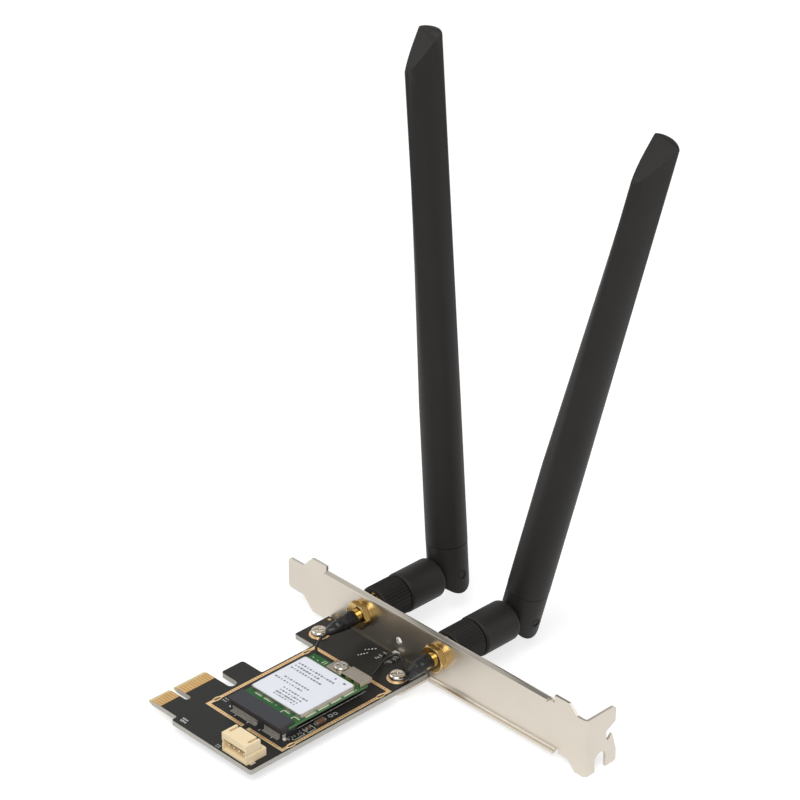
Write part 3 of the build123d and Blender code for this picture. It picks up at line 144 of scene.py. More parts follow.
def per_mm(size):
    """The texture scale that repeats once in a size given in millimetres."""
    return 1 / (size * MM)


print("middle grey in linear light", round(ink("#808080")[0], 3))

# %% [markdown]
# ## Floor and light
#
# The card lies in a white sweep under broad soft boxes. The world is white all round and greyer
# overhead, like a studio with a dim ceiling, and that is what the metals mirror: without the
# grey, level faces of bright metal would read as white paper. One large soft box above the
# camera's left shoulder gives the forms their shading. The floor glows for the camera and for
# mirrors only, so that it reads as white, takes the soft shadow under the card, and adds no light
# to it.

# %% Floor
FLOOR_SIZE = 3.0
FLOOR_CLEARANCE = 0.1 * MM
FLOOR_GLOW = 0.62


def seen_rays(tree):
    """One for a ray from the camera, a mirror or a clear piece, else zero; then camera rays alone."""
    rays = add(tree, "ShaderNodeLightPath").outputs
    seen = rays["Is Camera Ray"]
    for other in ("Is Glossy Ray", "Is Transmission Ray"):
        seen = add(tree, "ShaderNodeMath", {0: seen, 1: rays[other]}, operation="MAXIMUM").outputs[0]
    return seen, rays["Is Camera Ray"]


half = FLOOR_SIZE / 2
floor_z = cad_low.z - FLOOR_CLEARANCE
floor_mesh = bpy.data.meshes.new("floor")
floor_mesh.from_pydata([(-half, -half, floor_z), (half, -half, floor_z), (half, half, floor_z),
                        (-half, half, floor_z)], [], [(0, 1, 2, 3)])
floor = bpy.data.objects.new("floor", floor_mesh)
bpy.context.scene.collection.objects.link(floor)

# Matt paper: it has no gloss, so the eye sees only white and the soft shadow under the card.
paper, tree, shader, _ = start_material(
    "white_paper_sweep", Base_Color=ink("#c4c4c4"), Roughness=0.9, Emission_Color=ink("#ffffff"))
seen, _ = seen_rays(tree)
glow = add(tree, "ShaderNodeMath", {0: seen, 1: FLOOR_GLOW}, operation="MULTIPLY")
tree.links.new(glow.outputs[0], shader.inputs["Emission Strength"])
floor_mesh.materials.append(paper)
print("floor at mm", round(floor_z / MM, 2))

# %% World and soft boxes
WORLD_LIGHT = 0.55
CEILING = 0.68
CEILING_START = 0.1
CEILING_FULL = 0.6
SOFT_BOXES = [
    # name, place from the card's middle in metres, width in metres, watts
    ("key", (-0.55, -0.35, 0.85), 0.7, 8.0),
    ("fill", (0.55, -0.75, 0.45), 0.6, 1.3),
    ("rim", (-0.45, 0.80, 0.60), 0.6, 2.0),
]

world = bpy.data.worlds.new("studio")
bpy.context.scene.world = world
world.use_nodes = True
sky = world.node_tree
sky.nodes.clear()
seen, by_camera = seen_rays(sky)
aim = add(sky, "ShaderNodeSeparateXYZ", {0: add(sky, "ShaderNodeTexCoord").outputs["Generated"]})
ceiling = add(sky, "ShaderNodeMapRange", {
    "Value": aim.outputs["Z"], "From Min": CEILING_START, "From Max": CEILING_FULL,
    "To Min": 1.0, "To Max": CEILING}, interpolation_type="SMOOTHSTEP")
strength = add(sky, "ShaderNodeMapRange", {"Value": seen, "To Min": WORLD_LIGHT, "To Max": 1.0})
strength = add(sky, "ShaderNodeMath", {0: strength.outputs[0], 1: ceiling.outputs[0]},
               operation="MULTIPLY")
strength = add(sky, "ShaderNodeMath", {0: strength.outputs[0], 1: by_camera}, operation="MAXIMUM")
glow = add(sky, "ShaderNodeBackground", {"Color": (1, 1, 1, 1), "Strength": strength.outputs[0]})
add(sky, "ShaderNodeOutputWorld", {"Surface": glow.outputs[0]})

middle = (cad_low + cad_high) / 2
for name, spot, size, power in SOFT_BOXES:
    lamp = bpy.data.lights.new(name, "AREA")
    lamp.size = size
    lamp.energy = power
    box = bpy.data.objects.new(name, lamp)
    box.location = middle + Vector(spot)
    box.rotation_mode = "QUATERNION"
    box.rotation_quaternion = (-Vector(spot)).to_track_quat("-Z", "Y")
    bpy.context.scene.collection.objects.link(box)
print("soft boxes", len(SOFT_BOXES))

# %% [markdown]
# ## Solder mask on a glass laminate
#
# A circuit board is woven glass in epoxy, copper, and a thin baked ink called solder mask. From
# above you see the black ink with a faint weave under it; on the sawn edges you see the pale
# plies of glass. The contact tongue carries no ink at all, so the amber laminate shows between
# the gold strips, and at its ground bevel the glass is paler. One material does all of it: the
# surface normal tells faces from edges, and the object's own X and Y coordinates find the tongue
# and the bevel.

# %% Board material
MASK_CLOUD = 9
WEAVE = 0.7
WEAVE_BUMP = 0.06
WEAVE_DEPTH = 0.05
PLY = 0.25
PLY_WANDER = 1.5
EDGE_LEAN = 0.5
BEVEL_START = -1.4
MASK_GAP = 0.1
TONGUE_GAP = 0.4
MASK_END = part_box("edge_contacts")[0].y - MASK_GAP * MM
TONGUE_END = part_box("edge_contacts")[1].x + TONGUE_GAP * MM


def bare_tongue(tree, place, is_edge, colour, tongue, bevel):
    """The colour with the bare contact tongue and its ground bevel laid over it."""
    along = add(tree, "ShaderNodeSeparateXYZ", {0: place}).outputs
    near = add(tree, "ShaderNodeMath", {0: along["Y"], 1: MASK_END}, operation="GREATER_THAN")
    aside = add(tree, "ShaderNodeMath", {0: along["X"], 1: TONGUE_END}, operation="LESS_THAN")
    bare = add(tree, "ShaderNodeMath", {0: near.outputs[0], 1: aside.outputs[0]},
               operation="MULTIPLY")
    bare = add(tree, "ShaderNodeMath", {0: bare.outputs[0], 1: is_edge}, operation="SUBTRACT",
               use_clamp=True)
    ground = add(tree, "ShaderNodeMath", {0: along["Y"], 1: BEVEL_START * MM},
                 operation="GREATER_THAN")
    ground = add(tree, "ShaderNodeMath", {0: ground.outputs[0], 1: aside.outputs[0]},
                 operation="MULTIPLY")
    for zone, shade in ((bare, tongue), (ground, bevel)):
        mixed = add(tree, "ShaderNodeMix", {"Factor": zone.outputs[0], "A": colour, "B": ink(shade)},
                    data_type="RGBA")
        colour = mixed.outputs["Result"]
    return colour


def laminate(name, mask_dark, mask_light, ply_dark, ply_light, tongue=None, bevel=None):
    """Solder mask on the faces and glass plies on the edges, with an optional bare tongue."""
    material, tree, shader, place = start_material(
        name, Roughness=0.42, IOR=1.52, Specular_IOR_Level=0.2)
    cloud = add(tree, "ShaderNodeTexNoise", {
        "Vector": place, "Scale": per_mm(MASK_CLOUD), "Detail": 3})
    mask = add(tree, "ShaderNodeMix", {
        "Factor": cloud.outputs["Fac"], "A": ink(mask_dark), "B": ink(mask_light)}, data_type="RGBA")
    plies = add(tree, "ShaderNodeTexWave", {
        "Vector": place, "Scale": per_mm(PLY) / (2 * pi), "Distortion": PLY_WANDER},
        bands_direction="Z")
    edge = add(tree, "ShaderNodeMix", {
        "Factor": plies.outputs["Fac"], "A": ink(ply_dark), "B": ink(ply_light)}, data_type="RGBA")
    normal = add(tree, "ShaderNodeNewGeometry").outputs["Normal"]
    facing = add(tree, "ShaderNodeSeparateXYZ", {0: normal})
    flat = add(tree, "ShaderNodeMath", {0: facing.outputs["Z"]}, operation="ABSOLUTE")
    is_edge = add(tree, "ShaderNodeMath", {0: flat.outputs[0], 1: EDGE_LEAN}, operation="LESS_THAN")
    colour = add(tree, "ShaderNodeMix", {
        "Factor": is_edge.outputs[0], "A": mask.outputs["Result"], "B": edge.outputs["Result"]},
        data_type="RGBA").outputs["Result"]
    if tongue:
        colour = bare_tongue(tree, place, is_edge.outputs[0], colour, tongue, bevel)
    tree.links.new(colour, shader.inputs["Base Color"])
    threads = [add(tree, "ShaderNodeTexWave", {"Vector": place, "Scale": per_mm(WEAVE) / (2 * pi)},
                   bands_direction=way).outputs["Fac"] for way in ("X", "Y")]
    cloth = add(tree, "ShaderNodeMath", {0: threads[0], 1: threads[1]}, operation="MULTIPLY")
    bump = add(tree, "ShaderNodeBump", {
        "Height": cloth.outputs[0], "Strength": WEAVE_BUMP, "Distance": WEAVE_DEPTH * MM})
    tree.links.new(bump.outputs["Normal"], shader.inputs["Normal"])
    return material


# Black ink over copper: a dark, half-dull skin, with pale glass at the sawn edges.
board_laminate = laminate("black_mask_on_glass_laminate", "#232321", "#2a2a28", "#aba8a0", "#d3d0c7",
                          tongue="#c08a45", bevel="#d9c79c")
# Green ink, which is a little clear, so the glass at the edges looks green too.
module_laminate = laminate("green_mask_on_glass_laminate", "#27582f", "#2f6b38", "#3f6b45", "#6d8f6a")
print("laminates", board_laminate.name, module_laminate.name)

# %% [markdown]
# ## Plated metals
#
# Gold flash, nickel plate, brass and tin differ in colour and in how sharply they mirror. Real
# plating is never even: a slow noise in the roughness makes the reflection swim a little, as on a
# stamped or turned part. No real edge is a perfect corner either, so a bevel node rounds the
# shading of every edge by 0.15 mm, and edges catch the light. Metals keep the shader's default
# IOR.

# %% Metal materials
WORN_EDGE = 0.15
EDGE_SAMPLES = 6
NOISE_LOW = 0.3
NOISE_HIGH = 0.7
DRAWN = (1, 0.03, 1)
GRAIN_BUMP = 0.03
GRAIN_DEPTH = 0.01


def plated(name, dark, light, rough_low, rough_high, cloud_size, grain=None):
    """A metal whose colour and polish wander slowly; grain adds drawn lines of that spacing."""
    material, tree, shader, place = start_material(name, Metallic=1.0)
    cloud = add(tree, "ShaderNodeTexNoise", {
        "Vector": place, "Scale": per_mm(cloud_size), "Detail": 4})
    colour = add(tree, "ShaderNodeMix", {
        "Factor": cloud.outputs["Fac"], "A": ink(dark), "B": ink(light)}, data_type="RGBA")
    polish = add(tree, "ShaderNodeMapRange", {
        "Value": cloud.outputs["Fac"], "From Min": NOISE_LOW, "From Max": NOISE_HIGH,
        "To Min": rough_low, "To Max": rough_high})
    tree.links.new(colour.outputs["Result"], shader.inputs["Base Color"])
    tree.links.new(polish.outputs["Result"], shader.inputs["Roughness"])
    worn = add(tree, "ShaderNodeBevel", {"Radius": WORN_EDGE * MM}, samples=EDGE_SAMPLES)
    normal = worn.outputs["Normal"]
    if grain:
        drawn = add(tree, "ShaderNodeMapping", {"Vector": place, "Scale": DRAWN})
        lines = add(tree, "ShaderNodeTexNoise", {
            "Vector": drawn.outputs[0], "Scale": per_mm(grain), "Detail": 2})
        bump = add(tree, "ShaderNodeBump", {
            "Height": lines.outputs["Fac"], "Strength": GRAIN_BUMP, "Distance": GRAIN_DEPTH * MM,
            "Normal": normal})
        normal = bump.outputs["Normal"]
    tree.links.new(normal, shader.inputs["Normal"])
    return material


# Very thin gold on etched copper: warm, and half dull because the copper under it is rough.
gold_flash = plated("gold_flash_on_copper", "#dab472", "#efd29c", 0.34, 0.48, 3)
# The same on a wide strip: paler and flatter, with hardly any mirror in it.
frame_gold = plated("gold_flash_on_wide_copper", "#f6cf97", "#ffe6bd", 0.44, 0.58, 3)
# Gold flash with painted shade: the holes are not cut, so the shade their walls would cast is painted
# in as a darker and redder gold.
painted_via_shade_gold = plated("gold_flash_with_painted_via_shade", "#d1924a", "#e0a862", 0.46, 0.58, 1)
# Turned on a lathe, then plated: sharp bright mirrors with dark gaps between them.
turned_brass = plated("gold_plated_turned_brass", "#b8975a", "#d3b67c", 0.10, 0.20, 2)
# Rolled sheet, plated: a broad soft sheen with faint lines along the roll.
bracket_nickel = plated("nickel_plated_steel_sheet", "#c8c0b3", "#d6cfc4", 0.30, 0.38, 14, grain=0.5)
# Spring strip: browner and duller than the bracket.
clip_nickel = plated("nickel_silver_strip", "#a79f91", "#bfb7a9", 0.30, 0.42, 3, grain=0.4)
# Polished screw heads: small hard glints.
screw_nickel = plated("bright_nickel_screw", "#b0aaa1", "#cbc5bc", 0.10, 0.20, 1.5)
# Crimped brass: the dents break up its gleam, so it looks paler than the nuts.
ferrule_gold = plated("gold_flash_on_crimped_brass", "#b9a374", "#d3c297", 0.18, 0.30, 1)
# A can dipped in tin: a grey, cloudy mirror.
can_tin = plated("tinned_shield_can", "#a9a79f", "#c2c0b8", 0.28, 0.40, 4)
# Leads coated with solder: pale, with a satin shine.
solder_tin = plated("tinned_lead", "#cfccc4", "#e6e3dc", 0.34, 0.48, 1)
print("materials so far", len(bpy.data.materials))

# %% [markdown]
# ## Moulded plastics
#
# The socket is glass-filled nylon, the header is cream nylon, the aerials are ABS from a
# spark-eroded mould. All are dull because of a fine grain in the mould, so each gets a bump of
# that grain size. Grain finer than a tenth of a millimetre would not show in the picture, so it
# is drawn a little coarser. A mould has no sharp corners, so the shading of each edge is rounded
# by a quarter of a millimetre.

# %% Plastic materials
MOULD_RADIUS = 0.25
MOULD_CLOUD = 12
MOULD_DEPTH = 0.1


def moulded(name, dark, light, roughness, grain, depth, gloss=0.5):
    """A moulded plastic with a faint change of colour and a grain of the given size."""
    material, tree, shader, place = start_material(
        name, Roughness=roughness, IOR=1.5, Specular_IOR_Level=gloss)
    cloud = add(tree, "ShaderNodeTexNoise", {
        "Vector": place, "Scale": per_mm(MOULD_CLOUD), "Detail": 2})
    colour = add(tree, "ShaderNodeMix", {
        "Factor": cloud.outputs["Fac"], "A": ink(dark), "B": ink(light)}, data_type="RGBA")
    tree.links.new(colour.outputs["Result"], shader.inputs["Base Color"])
    skin = add(tree, "ShaderNodeTexNoise", {"Vector": place, "Scale": per_mm(grain), "Detail": 3})
    soft = add(tree, "ShaderNodeBevel", {"Radius": MOULD_RADIUS * MM}, samples=EDGE_SAMPLES)
    bump = add(tree, "ShaderNodeBump", {
        "Height": skin.outputs["Fac"], "Strength": depth, "Distance": MOULD_DEPTH * MM,
        "Normal": soft.outputs["Normal"]})
    tree.links.new(bump.outputs["Normal"], shader.inputs["Normal"])
    return material


# A spark-eroded mould leaves an even grain that spreads the light: a soft, dusty black.
aerial_abs = moulded("spark_textured_black_abs", "#211f1d", "#272524", 0.52, 0.35, 0.16, gloss=0.2)
# Glass fibres near the skin: a cool dark grey with a slight sheen.
socket_nylon = moulded("glass_filled_dark_nylon", "#24252b", "#2c2d34", 0.40, 0.3, 0.08)
# Nylon without glass: warm, milky and satin.
header_nylon = moulded("cream_nylon", "#efd7a9", "#f7e5c2", 0.48, 0.5, 0.08)
# Tube that shrank unevenly: a tight, lumpy skin with long soft glints.
shrink_tube = moulded("shrunk_polyolefin_tube", "#141413", "#1b1b1a", 0.32, 1.2, 0.4, gloss=0.35)
# A drawn jacket: smooth, with one thin bright line along it.
coax_jacket = moulded("thin_coax_jacket", "#121211", "#181817", 0.32, 0.4, 0.05, gloss=0.35)
# PTFE: a waxy white.
white_ptfe = moulded("white_ptfe", "#dddbd4", "#eae8e1", 0.45, 0.4, 0.05)
# Coated film: a cool white, nearly flat.
label_film = moulded("white_label_film", "#e3e6ee", "#eceef5", 0.42, 0.6, 0.04)
# Moulded epoxy: a plain dull black.
chip_epoxy = moulded("black_chip_epoxy", "#191919", "#222222", 0.5, 0.2, 0.1)
# Fired ceramic: a warm matt brown.
chip_ceramic = moulded("brown_chip_ceramic", "#5f4634", "#7c5d46", 0.45, 0.2, 0.08)
# Cast resin: milky and glossy, so the lamp carries one small bright spot.
lamp_resin = moulded("clear_white_lamp_resin", "#a3a199", "#b7b5ac", 0.2, 0.3, 0.03)
print("materials so far", len(bpy.data.materials))

# %% [markdown]
# ## Which piece is made of what
#
# The finishes are listed by material, as on a maker's parts list, so that one look shows what
# shares a plating bath or a mould. The aerials and their jacks come in pairs and are listed once
# for both sides.

# %% Give every CAD node its material
FINISHES = {
    board_laminate: ["board"],
    module_laminate: ["module_board"],
    gold_flash: ["edge_contacts", "module_jacks"],
    frame_gold: ["bare_copper"],
    socket_nylon: ["module_socket_housing"],
    solder_tin: ["module_socket_contacts", "module_socket_tabs", "header_pins", "header_tabs",
                 "chip_end_caps"],
    can_tin: ["module_shield"],
    label_film: ["module_label"],
    chip_epoxy: ["module_radio_chip", "chip_resistors"],
    chip_ceramic: ["module_small_parts", "chip_capacitors"],
    clip_nickel: ["module_clip"],
    screw_nickel: ["module_screw", "bracket_screws"],
    header_nylon: ["header_housing"],
    lamp_resin: ["indicator_lamp"],
    bracket_nickel: ["bracket"],
    turned_brass: ["module_standoff", "jack_washers", "jack_nuts"],
    ferrule_gold: ["crimp_ferrules"],
}
SIDE_FINISHES = {
    gold_flash: ["pigtail_plug", "jack_pin", "plug_contact"],
    coax_jacket: ["pigtail_coax"],
    shrink_tube: ["heat_shrink"],
    turned_brass: ["jack_body", "coupling_nut", "plug_body", "aerial_radiator"],
    white_ptfe: ["jack_insulator", "plug_insulator"],
    aerial_abs: ["coupling_ring", "hinge_barrel", "hinge_pin", "aerial_knuckle", "aerial_sleeve"],
}
SIDES = ("left", "right")

coats = [(name, finish) for finish, names in FINISHES.items() for name in names]
coats += [(stem + "_" + side, finish) for finish, stems in SIDE_FINISHES.items()
          for stem in stems for side in SIDES]
for name, finish in coats:
    nodes[name].data.materials.clear()
    nodes[name].data.materials.append(finish)
print("dressed", len(coats), "left bare", sorted(set(nodes) - {name for name, finish in coats}))

# %% [markdown]
# ## Trees that grow small parts
#
# What repeats or follows a path is made with Geometry Nodes: a tree of nodes is a recipe with
# named inputs, and the same recipe serves many places with other numbers. Each tree here ends in
# real geometry with its material set, and the result is kept as a plain mesh, so nothing depends
# on a live modifier afterwards.

# %% Helpers for geometry trees
def start_tree(name, **inputs):
    """A geometry tree with named inputs; gives the tree and the sockets of its input node."""
    tree = bpy.data.node_groups.new(name, "GeometryNodeTree")
    tree.interface.new_socket("Base", in_out="INPUT", socket_type="NodeSocketGeometry")
    for label, kind in inputs.items():
        tree.interface.new_socket(label, in_out="INPUT", socket_type="NodeSocket" + kind)
    tree.interface.new_socket("Grown", in_out="OUTPUT", socket_type="NodeSocketGeometry")
    return tree, tree.nodes.new("NodeGroupInput").outputs


def end_tree(tree, geometry, material):
    """Closes a tree: real geometry, with the material set on it."""
    real = add(tree, "GeometryNodeRealizeInstances", {"Geometry": geometry})
    coated = add(tree, "GeometryNodeSetMaterial", {
        "Geometry": real.outputs[0], "Material": material})
    add(tree, "NodeGroupOutput", {"Grown": coated.outputs[0]})
    print(tree.name, "has", len(tree.nodes), "nodes")


def grow(tree, base=None, **values):
    """The plain mesh that a tree makes from these input values."""
    carrier = bpy.data.objects.new("carrier", base or bpy.data.meshes.new("carrier"))
    bpy.context.scene.collection.objects.link(carrier)
    modifier = carrier.modifiers.new("grow", "NODES")
    modifier.node_group = tree
    sockets = {item.name: item.identifier for item in tree.interface.items_tree
               if item.in_out == "INPUT"}
    for label, value in values.items():
        modifier[sockets[label]] = value
    graph = bpy.context.evaluated_depsgraph_get()
    mesh = bpy.data.meshes.new_from_object(carrier.evaluated_get(graph), depsgraph=graph)
    bpy.data.objects.remove(carrier)
    return mesh


def add_piece(name, meshes, material, body="card"):
    """Joins grown meshes into one piece of a body, with one material."""
    joined = bmesh.new()
    for mesh in meshes:
        joined.from_mesh(mesh)
    whole = bpy.data.meshes.new(name)
    joined.to_mesh(whole)
    joined.free()
    whole.materials.append(material)
    piece = bpy.data.objects.new(name, whole)
    bpy.context.scene.collection.objects.link(piece)
    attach(piece, body)
    print(name, "faces", len(whole.polygons))
    return piece


print("node groups before any tree", len(bpy.data.node_groups))

# %% [markdown]
# ## Print on the board, the module and the label
#
# Screen-printed marks are films of ink a few hundredths of a millimetre thick. An image texture
# would need a picture file, and a shader pattern would be hard to place, so each mark is a thin
# bar of real ink. They come in rows: a line of points, a bar on each point, and a random share
# cut off each bar so that a row on the label reads as a line of small print without spelling
# anything.

# %% The tree for a row of marks
INK_FILM = 0.03

row_tree, row = start_tree("row_of_marks", Start="Vector", Step="Vector", Count="Int", Bar="Vector",
                           Spread="Vector", Seed="Int", Ink="Material")
line = add(row_tree, "GeometryNodeMeshLine", {
    "Count": row["Count"], "Start Location": row["Start"], "Offset": row["Step"]})
bar = add(row_tree, "GeometryNodeMeshCube", {"Size": row["Bar"]})
chance = add(row_tree, "FunctionNodeRandomValue", {"Seed": row["Seed"]})
cut = add(row_tree, "ShaderNodeVectorMath", {0: row["Spread"], "Scale": chance.outputs[1]},
          operation="SCALE")
share = add(row_tree, "ShaderNodeVectorMath", {0: (1, 1, 1), 1: cut.outputs[0]},
            operation="SUBTRACT")
bars = add(row_tree, "GeometryNodeInstanceOnPoints", {
    "Points": line.outputs[0], "Instance": bar.outputs[0], "Scale": share.outputs[0]})
end_tree(row_tree, bars.outputs[0], row["Ink"])


def mark_row(material, height, start, step, count, bar, spread=(0, 0), seed=1):
    """A row of ink bars on a face at this height; places and sizes are in millimetres."""
    return grow(row_tree, Start=Vector((*start, height)) * MM, Step=Vector((*step, 0)) * MM,
                Count=count, Bar=Vector((*bar, INK_FILM)) * MM, Spread=Vector((*spread, 0)),
                Seed=seed, Ink=material)


# %% Inks
# Screen ink dries to a chalky film: flat white, without a glint.
silk_ink = moulded("white_screen_ink", "#dededb", "#ecece9", 0.6, 0.3, 0.05, gloss=0.3)
# The same ink printed thin over green mask, which tints it.
pad_ink = moulded("pale_green_screen_ink", "#cfd6b8", "#e2e6cf", 0.6, 0.3, 0.05, gloss=0.3)
# Heat-printed grey on film: soft small print.
label_ink = moulded("grey_thermal_print", "#7f828e", "#92959f", 0.6, 0.3, 0.02, gloss=0.3)
print("inks", silk_ink.name, pad_ink.name, label_ink.name)

# %% Board marks
BOARD_TOP = 0.8
BOARD_ROWS = [
    # start, step, count, bar, spread
    ((4.18, -22.95), (0, -4.98), 4, (0.75, 0.2), (0, 0)),
    ((23.4, -39.75), (0, 0), 1, (29.8, 0.28), (0, 0)),
    ((7.8, -41.95), (4.05, 0), 2, (0.16, 2.5), (0, 0)),
    ((9.8, -43.2), (0, 0), 1, (4.0, 0.16), (0, 0)),
    ((13.1, -41.95), (2.8, 0), 2, (0.16, 2.7), (0, 0)),
    ((14.5, -43.3), (0, 0), 1, (2.8, 0.16), (0, 0)),
    ((17.1, -41.6), (0.95, 0), 5, (0.22, 1.2), (0, 0.2)),
    ((19.0, -41.05), (0, 0), 1, (3.9, 0.16), (0, 0)),
    ((22.5, -41.6), (1.0, 0), 2, (0.16, 1.3), (0, 0)),
    ((23.0, -41.05), (0, -1.15), 2, (1.0, 0.16), (0, 0)),
    ((24.3, -41.75), (0.9, 0), 2, (0.16, 1.1), (0, 0)),
    ((24.75, -41.25), (0, -1.0), 2, (0.9, 0.16), (0, 0)),
    ((-8.35, -14.2), (0, -0.62), 4, (0.95, 0.34), (0.4, 0)),
    ((-7.3, -14.0), (0, -0.62), 4, (0.8, 0.34), (0.4, 0)),
    ((-9.4, -30.2), (0, -0.55), 3, (0.5, 0.22), (0.3, 0)),
    ((-8.6, -30.1), (0, -0.55), 3, (0.5, 0.22), (0.3, 0)),
    ((6.6, -14.9), (0, -0.6), 3, (0.55, 0.26), (0.3, 0)),
    ((7.6, -14.8), (0, -0.6), 3, (0.5, 0.26), (0.3, 0)),
    ((52.1, -29.6), (0.75, -0.2), 3, (0.3, 0.9), (0.1, 0.3)),
    ((52.3, -33.0), (0.75, -0.2), 4, (0.3, 0.9), (0.1, 0.3)),
    ((49.5, -24.9), (0.85, -0.35), 4, (0.62, 0.42), (0.3, 0.2)),
    ((52.9, -24.3), (0.8, -0.6), 4, (0.62, 0.42), (0.3, 0.2)),
]
rows = [mark_row(silk_ink, BOARD_TOP, *entry, seed=number)
        for number, entry in enumerate(BOARD_ROWS)]
add_piece("silkscreen", rows, silk_ink)
corner_pad = mark_row(gold_flash, BOARD_TOP, (56.2, -5.5), (0, 0), 1, (0.9, 0.9))
add_piece("corner_pad", [corner_pad], gold_flash)

# %% Module marks
MODULE_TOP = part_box("module_board")[1].z / MM
MODULE_ROWS = [
    ((16.4, -40.82), (4.83, 0), 4, (4.0, 0.5), (0, 0)),
    ((33.6, -40.82), (0, 0), 1, (0.5, 0.45), (0, 0)),
    ((12.45, -23.3), (0, -3.7), 2, (0.35, 2.7), (0, 0)),
    ((12.45, -29.0), (0, -1.7), 2, (0.35, 0.4), (0, 0)),
    ((12.4, -35.2), (0, -4.1), 2, (0.35, 2.4), (0, 0)),
    ((11.8, -34.0), (0, -4.3), 2, (1.3, 0.35), (0, 0)),
    ((36.2, -20.3), (-0.25, -2.1), 2, (0.4, 0.45), (0, 0)),
    ((36.6, -24.2), (0, -0.9), 2, (1.6, 0.3), (0, 0)),
]
rows = [mark_row(pad_ink, MODULE_TOP, *entry, seed=number)
        for number, entry in enumerate(MODULE_ROWS)]
add_piece("module_marks", rows, pad_ink)

# %% Label print
LABEL_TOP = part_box("module_label")[1].z / MM
WORD = 1.15
WORD_FILL = 0.92
WORD_SPREAD = (0.15, 0.7)
LABEL_SEED = 20
LABEL_LINES = [
    # x of the line, y of its start, y of its end, height of the print
    (29.95, -20.9, -35.4, 0.7), (28.45, -20.9, -31.2, 0.7), (26.95, -20.9, -33.5, 0.7),
    (22.6, -23.0, -33.4, 0.6), (20.95, -20.9, -32.5, 0.6),
    (18.7, -26.7, -36.7, 0.6), (17.3, -26.8, -36.1, 0.6), (16.0, -26.8, -35.5, 0.6),
    (14.95, -26.7, -35.4, 0.5),
    (31.9, -33.7, -34.7, 0.8), (31.9, -37.3, -38.3, 0.8),
]
rows = []
for number, (x, first, last, tall) in enumerate(LABEL_LINES):
    words = max(1, round((first - last) / WORD))
    rows.append(mark_row(label_ink, LABEL_TOP, (x, first - WORD / 2), (0, -WORD), words,
                         (tall, WORD_FILL * WORD), spread=WORD_SPREAD, seed=LABEL_SEED + number))
add_piece("label_print", rows, label_ink)

# %% [markdown]
# ## Stitching vias and eyes in the gold frame
#
# The bare copper frame round the module is stitched to the ground plane by a row of plated holes.
# The holes are not cut: each is a flat bar of darker gold, painted shade of its hole, so the row
# shows as a ladder of darker rungs. Near each corner the frame opens round an eye. The rungs are
# rows of marks again; an eye is a flat band swept round an ellipse, set on a row of points.

# %% Rungs
STRIP_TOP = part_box("bare_copper")[1].z / MM
RUNG_PITCH = 0.95
RUNG_ROWS = [
    ((8.3, -13.45), (RUNG_PITCH, 0), 32, (0.3, 0.7)),
    ((8.3, -44.35), (RUNG_PITCH, 0), 32, (0.3, 0.7)),
    ((2.35, -15.0), (0, -RUNG_PITCH), 14, (0.7, 0.3)),
    ((2.35, -31.6), (0, -RUNG_PITCH), 12, (0.7, 0.3)),
    ((43.1, -15.0), (0, -RUNG_PITCH), 30, (0.7, 0.3)),
]
# Each rung is painted shade: a flat bar of darker gold where a plated hole would be.
rows = [mark_row(painted_via_shade_gold, STRIP_TOP, *entry) for entry in RUNG_ROWS]
add_piece("painted_via_shade_rungs", rows, painted_via_shade_gold)

# %% Eyes
EYE_LENGTH = 2.9
EYE_WIDTH = 1.35
EYE_BAND = 0.42
EYE_SIDES = 40
EYE_STEP = 34.05
EYE_PLACES = [(5.7, -13.45), (5.7, -44.35)]

eye_tree, eye = start_tree("frame_eyes", Start="Vector", Step="Vector", Length="Float",
                           Width="Float", Band="Float", Metal="Material")
spots = add(eye_tree, "GeometryNodeMeshLine", {
    "Count": 2, "Start Location": eye["Start"], "Offset": eye["Step"]})
oval = add(eye_tree, "ShaderNodeCombineXYZ", {"X": eye["Length"], "Y": eye["Width"], "Z": 1.0})
loop = add(eye_tree, "GeometryNodeCurvePrimitiveCircle", {"Resolution": EYE_SIDES, "Radius": 0.5})
loop = add(eye_tree, "GeometryNodeTransform", {
    "Geometry": loop.outputs[0], "Scale": oval.outputs[0]})
band = add(eye_tree, "GeometryNodeCurvePrimitiveQuadrilateral", {
    "Width": eye["Band"], "Height": 2 * INK_FILM * MM})
hoop = add(eye_tree, "GeometryNodeCurveToMesh", {
    "Curve": loop.outputs[0], "Profile Curve": band.outputs[0]})
eyes = add(eye_tree, "GeometryNodeInstanceOnPoints", {
    "Points": spots.outputs[0], "Instance": hoop.outputs[0]})
end_tree(eye_tree, eyes.outputs[0], eye["Metal"])

meshes = []
for x, y in EYE_PLACES:
    meshes.append(grow(eye_tree, Start=Vector((x, y, STRIP_TOP)) * MM,
                       Step=Vector((EYE_STEP, 0, 0)) * MM, Length=EYE_LENGTH * MM,
                       Width=EYE_WIDTH * MM, Band=EYE_BAND * MM, Metal=frame_gold))
add_piece("frame_eyes", meshes, frame_gold)

# %% [markdown]
# ## Screw threads on the aerial jacks
#
# Between the bracket nut and the coupling ring a few turns of the jack's quarter-inch thread
# show. A thread is a ridge along a helix, so the tree draws a spiral, sweeps a small diamond
# along it and lays it along the jack.

# %% The tree for a thread
ROUND_SIDES = 36
DIAMOND_SIDES = 4

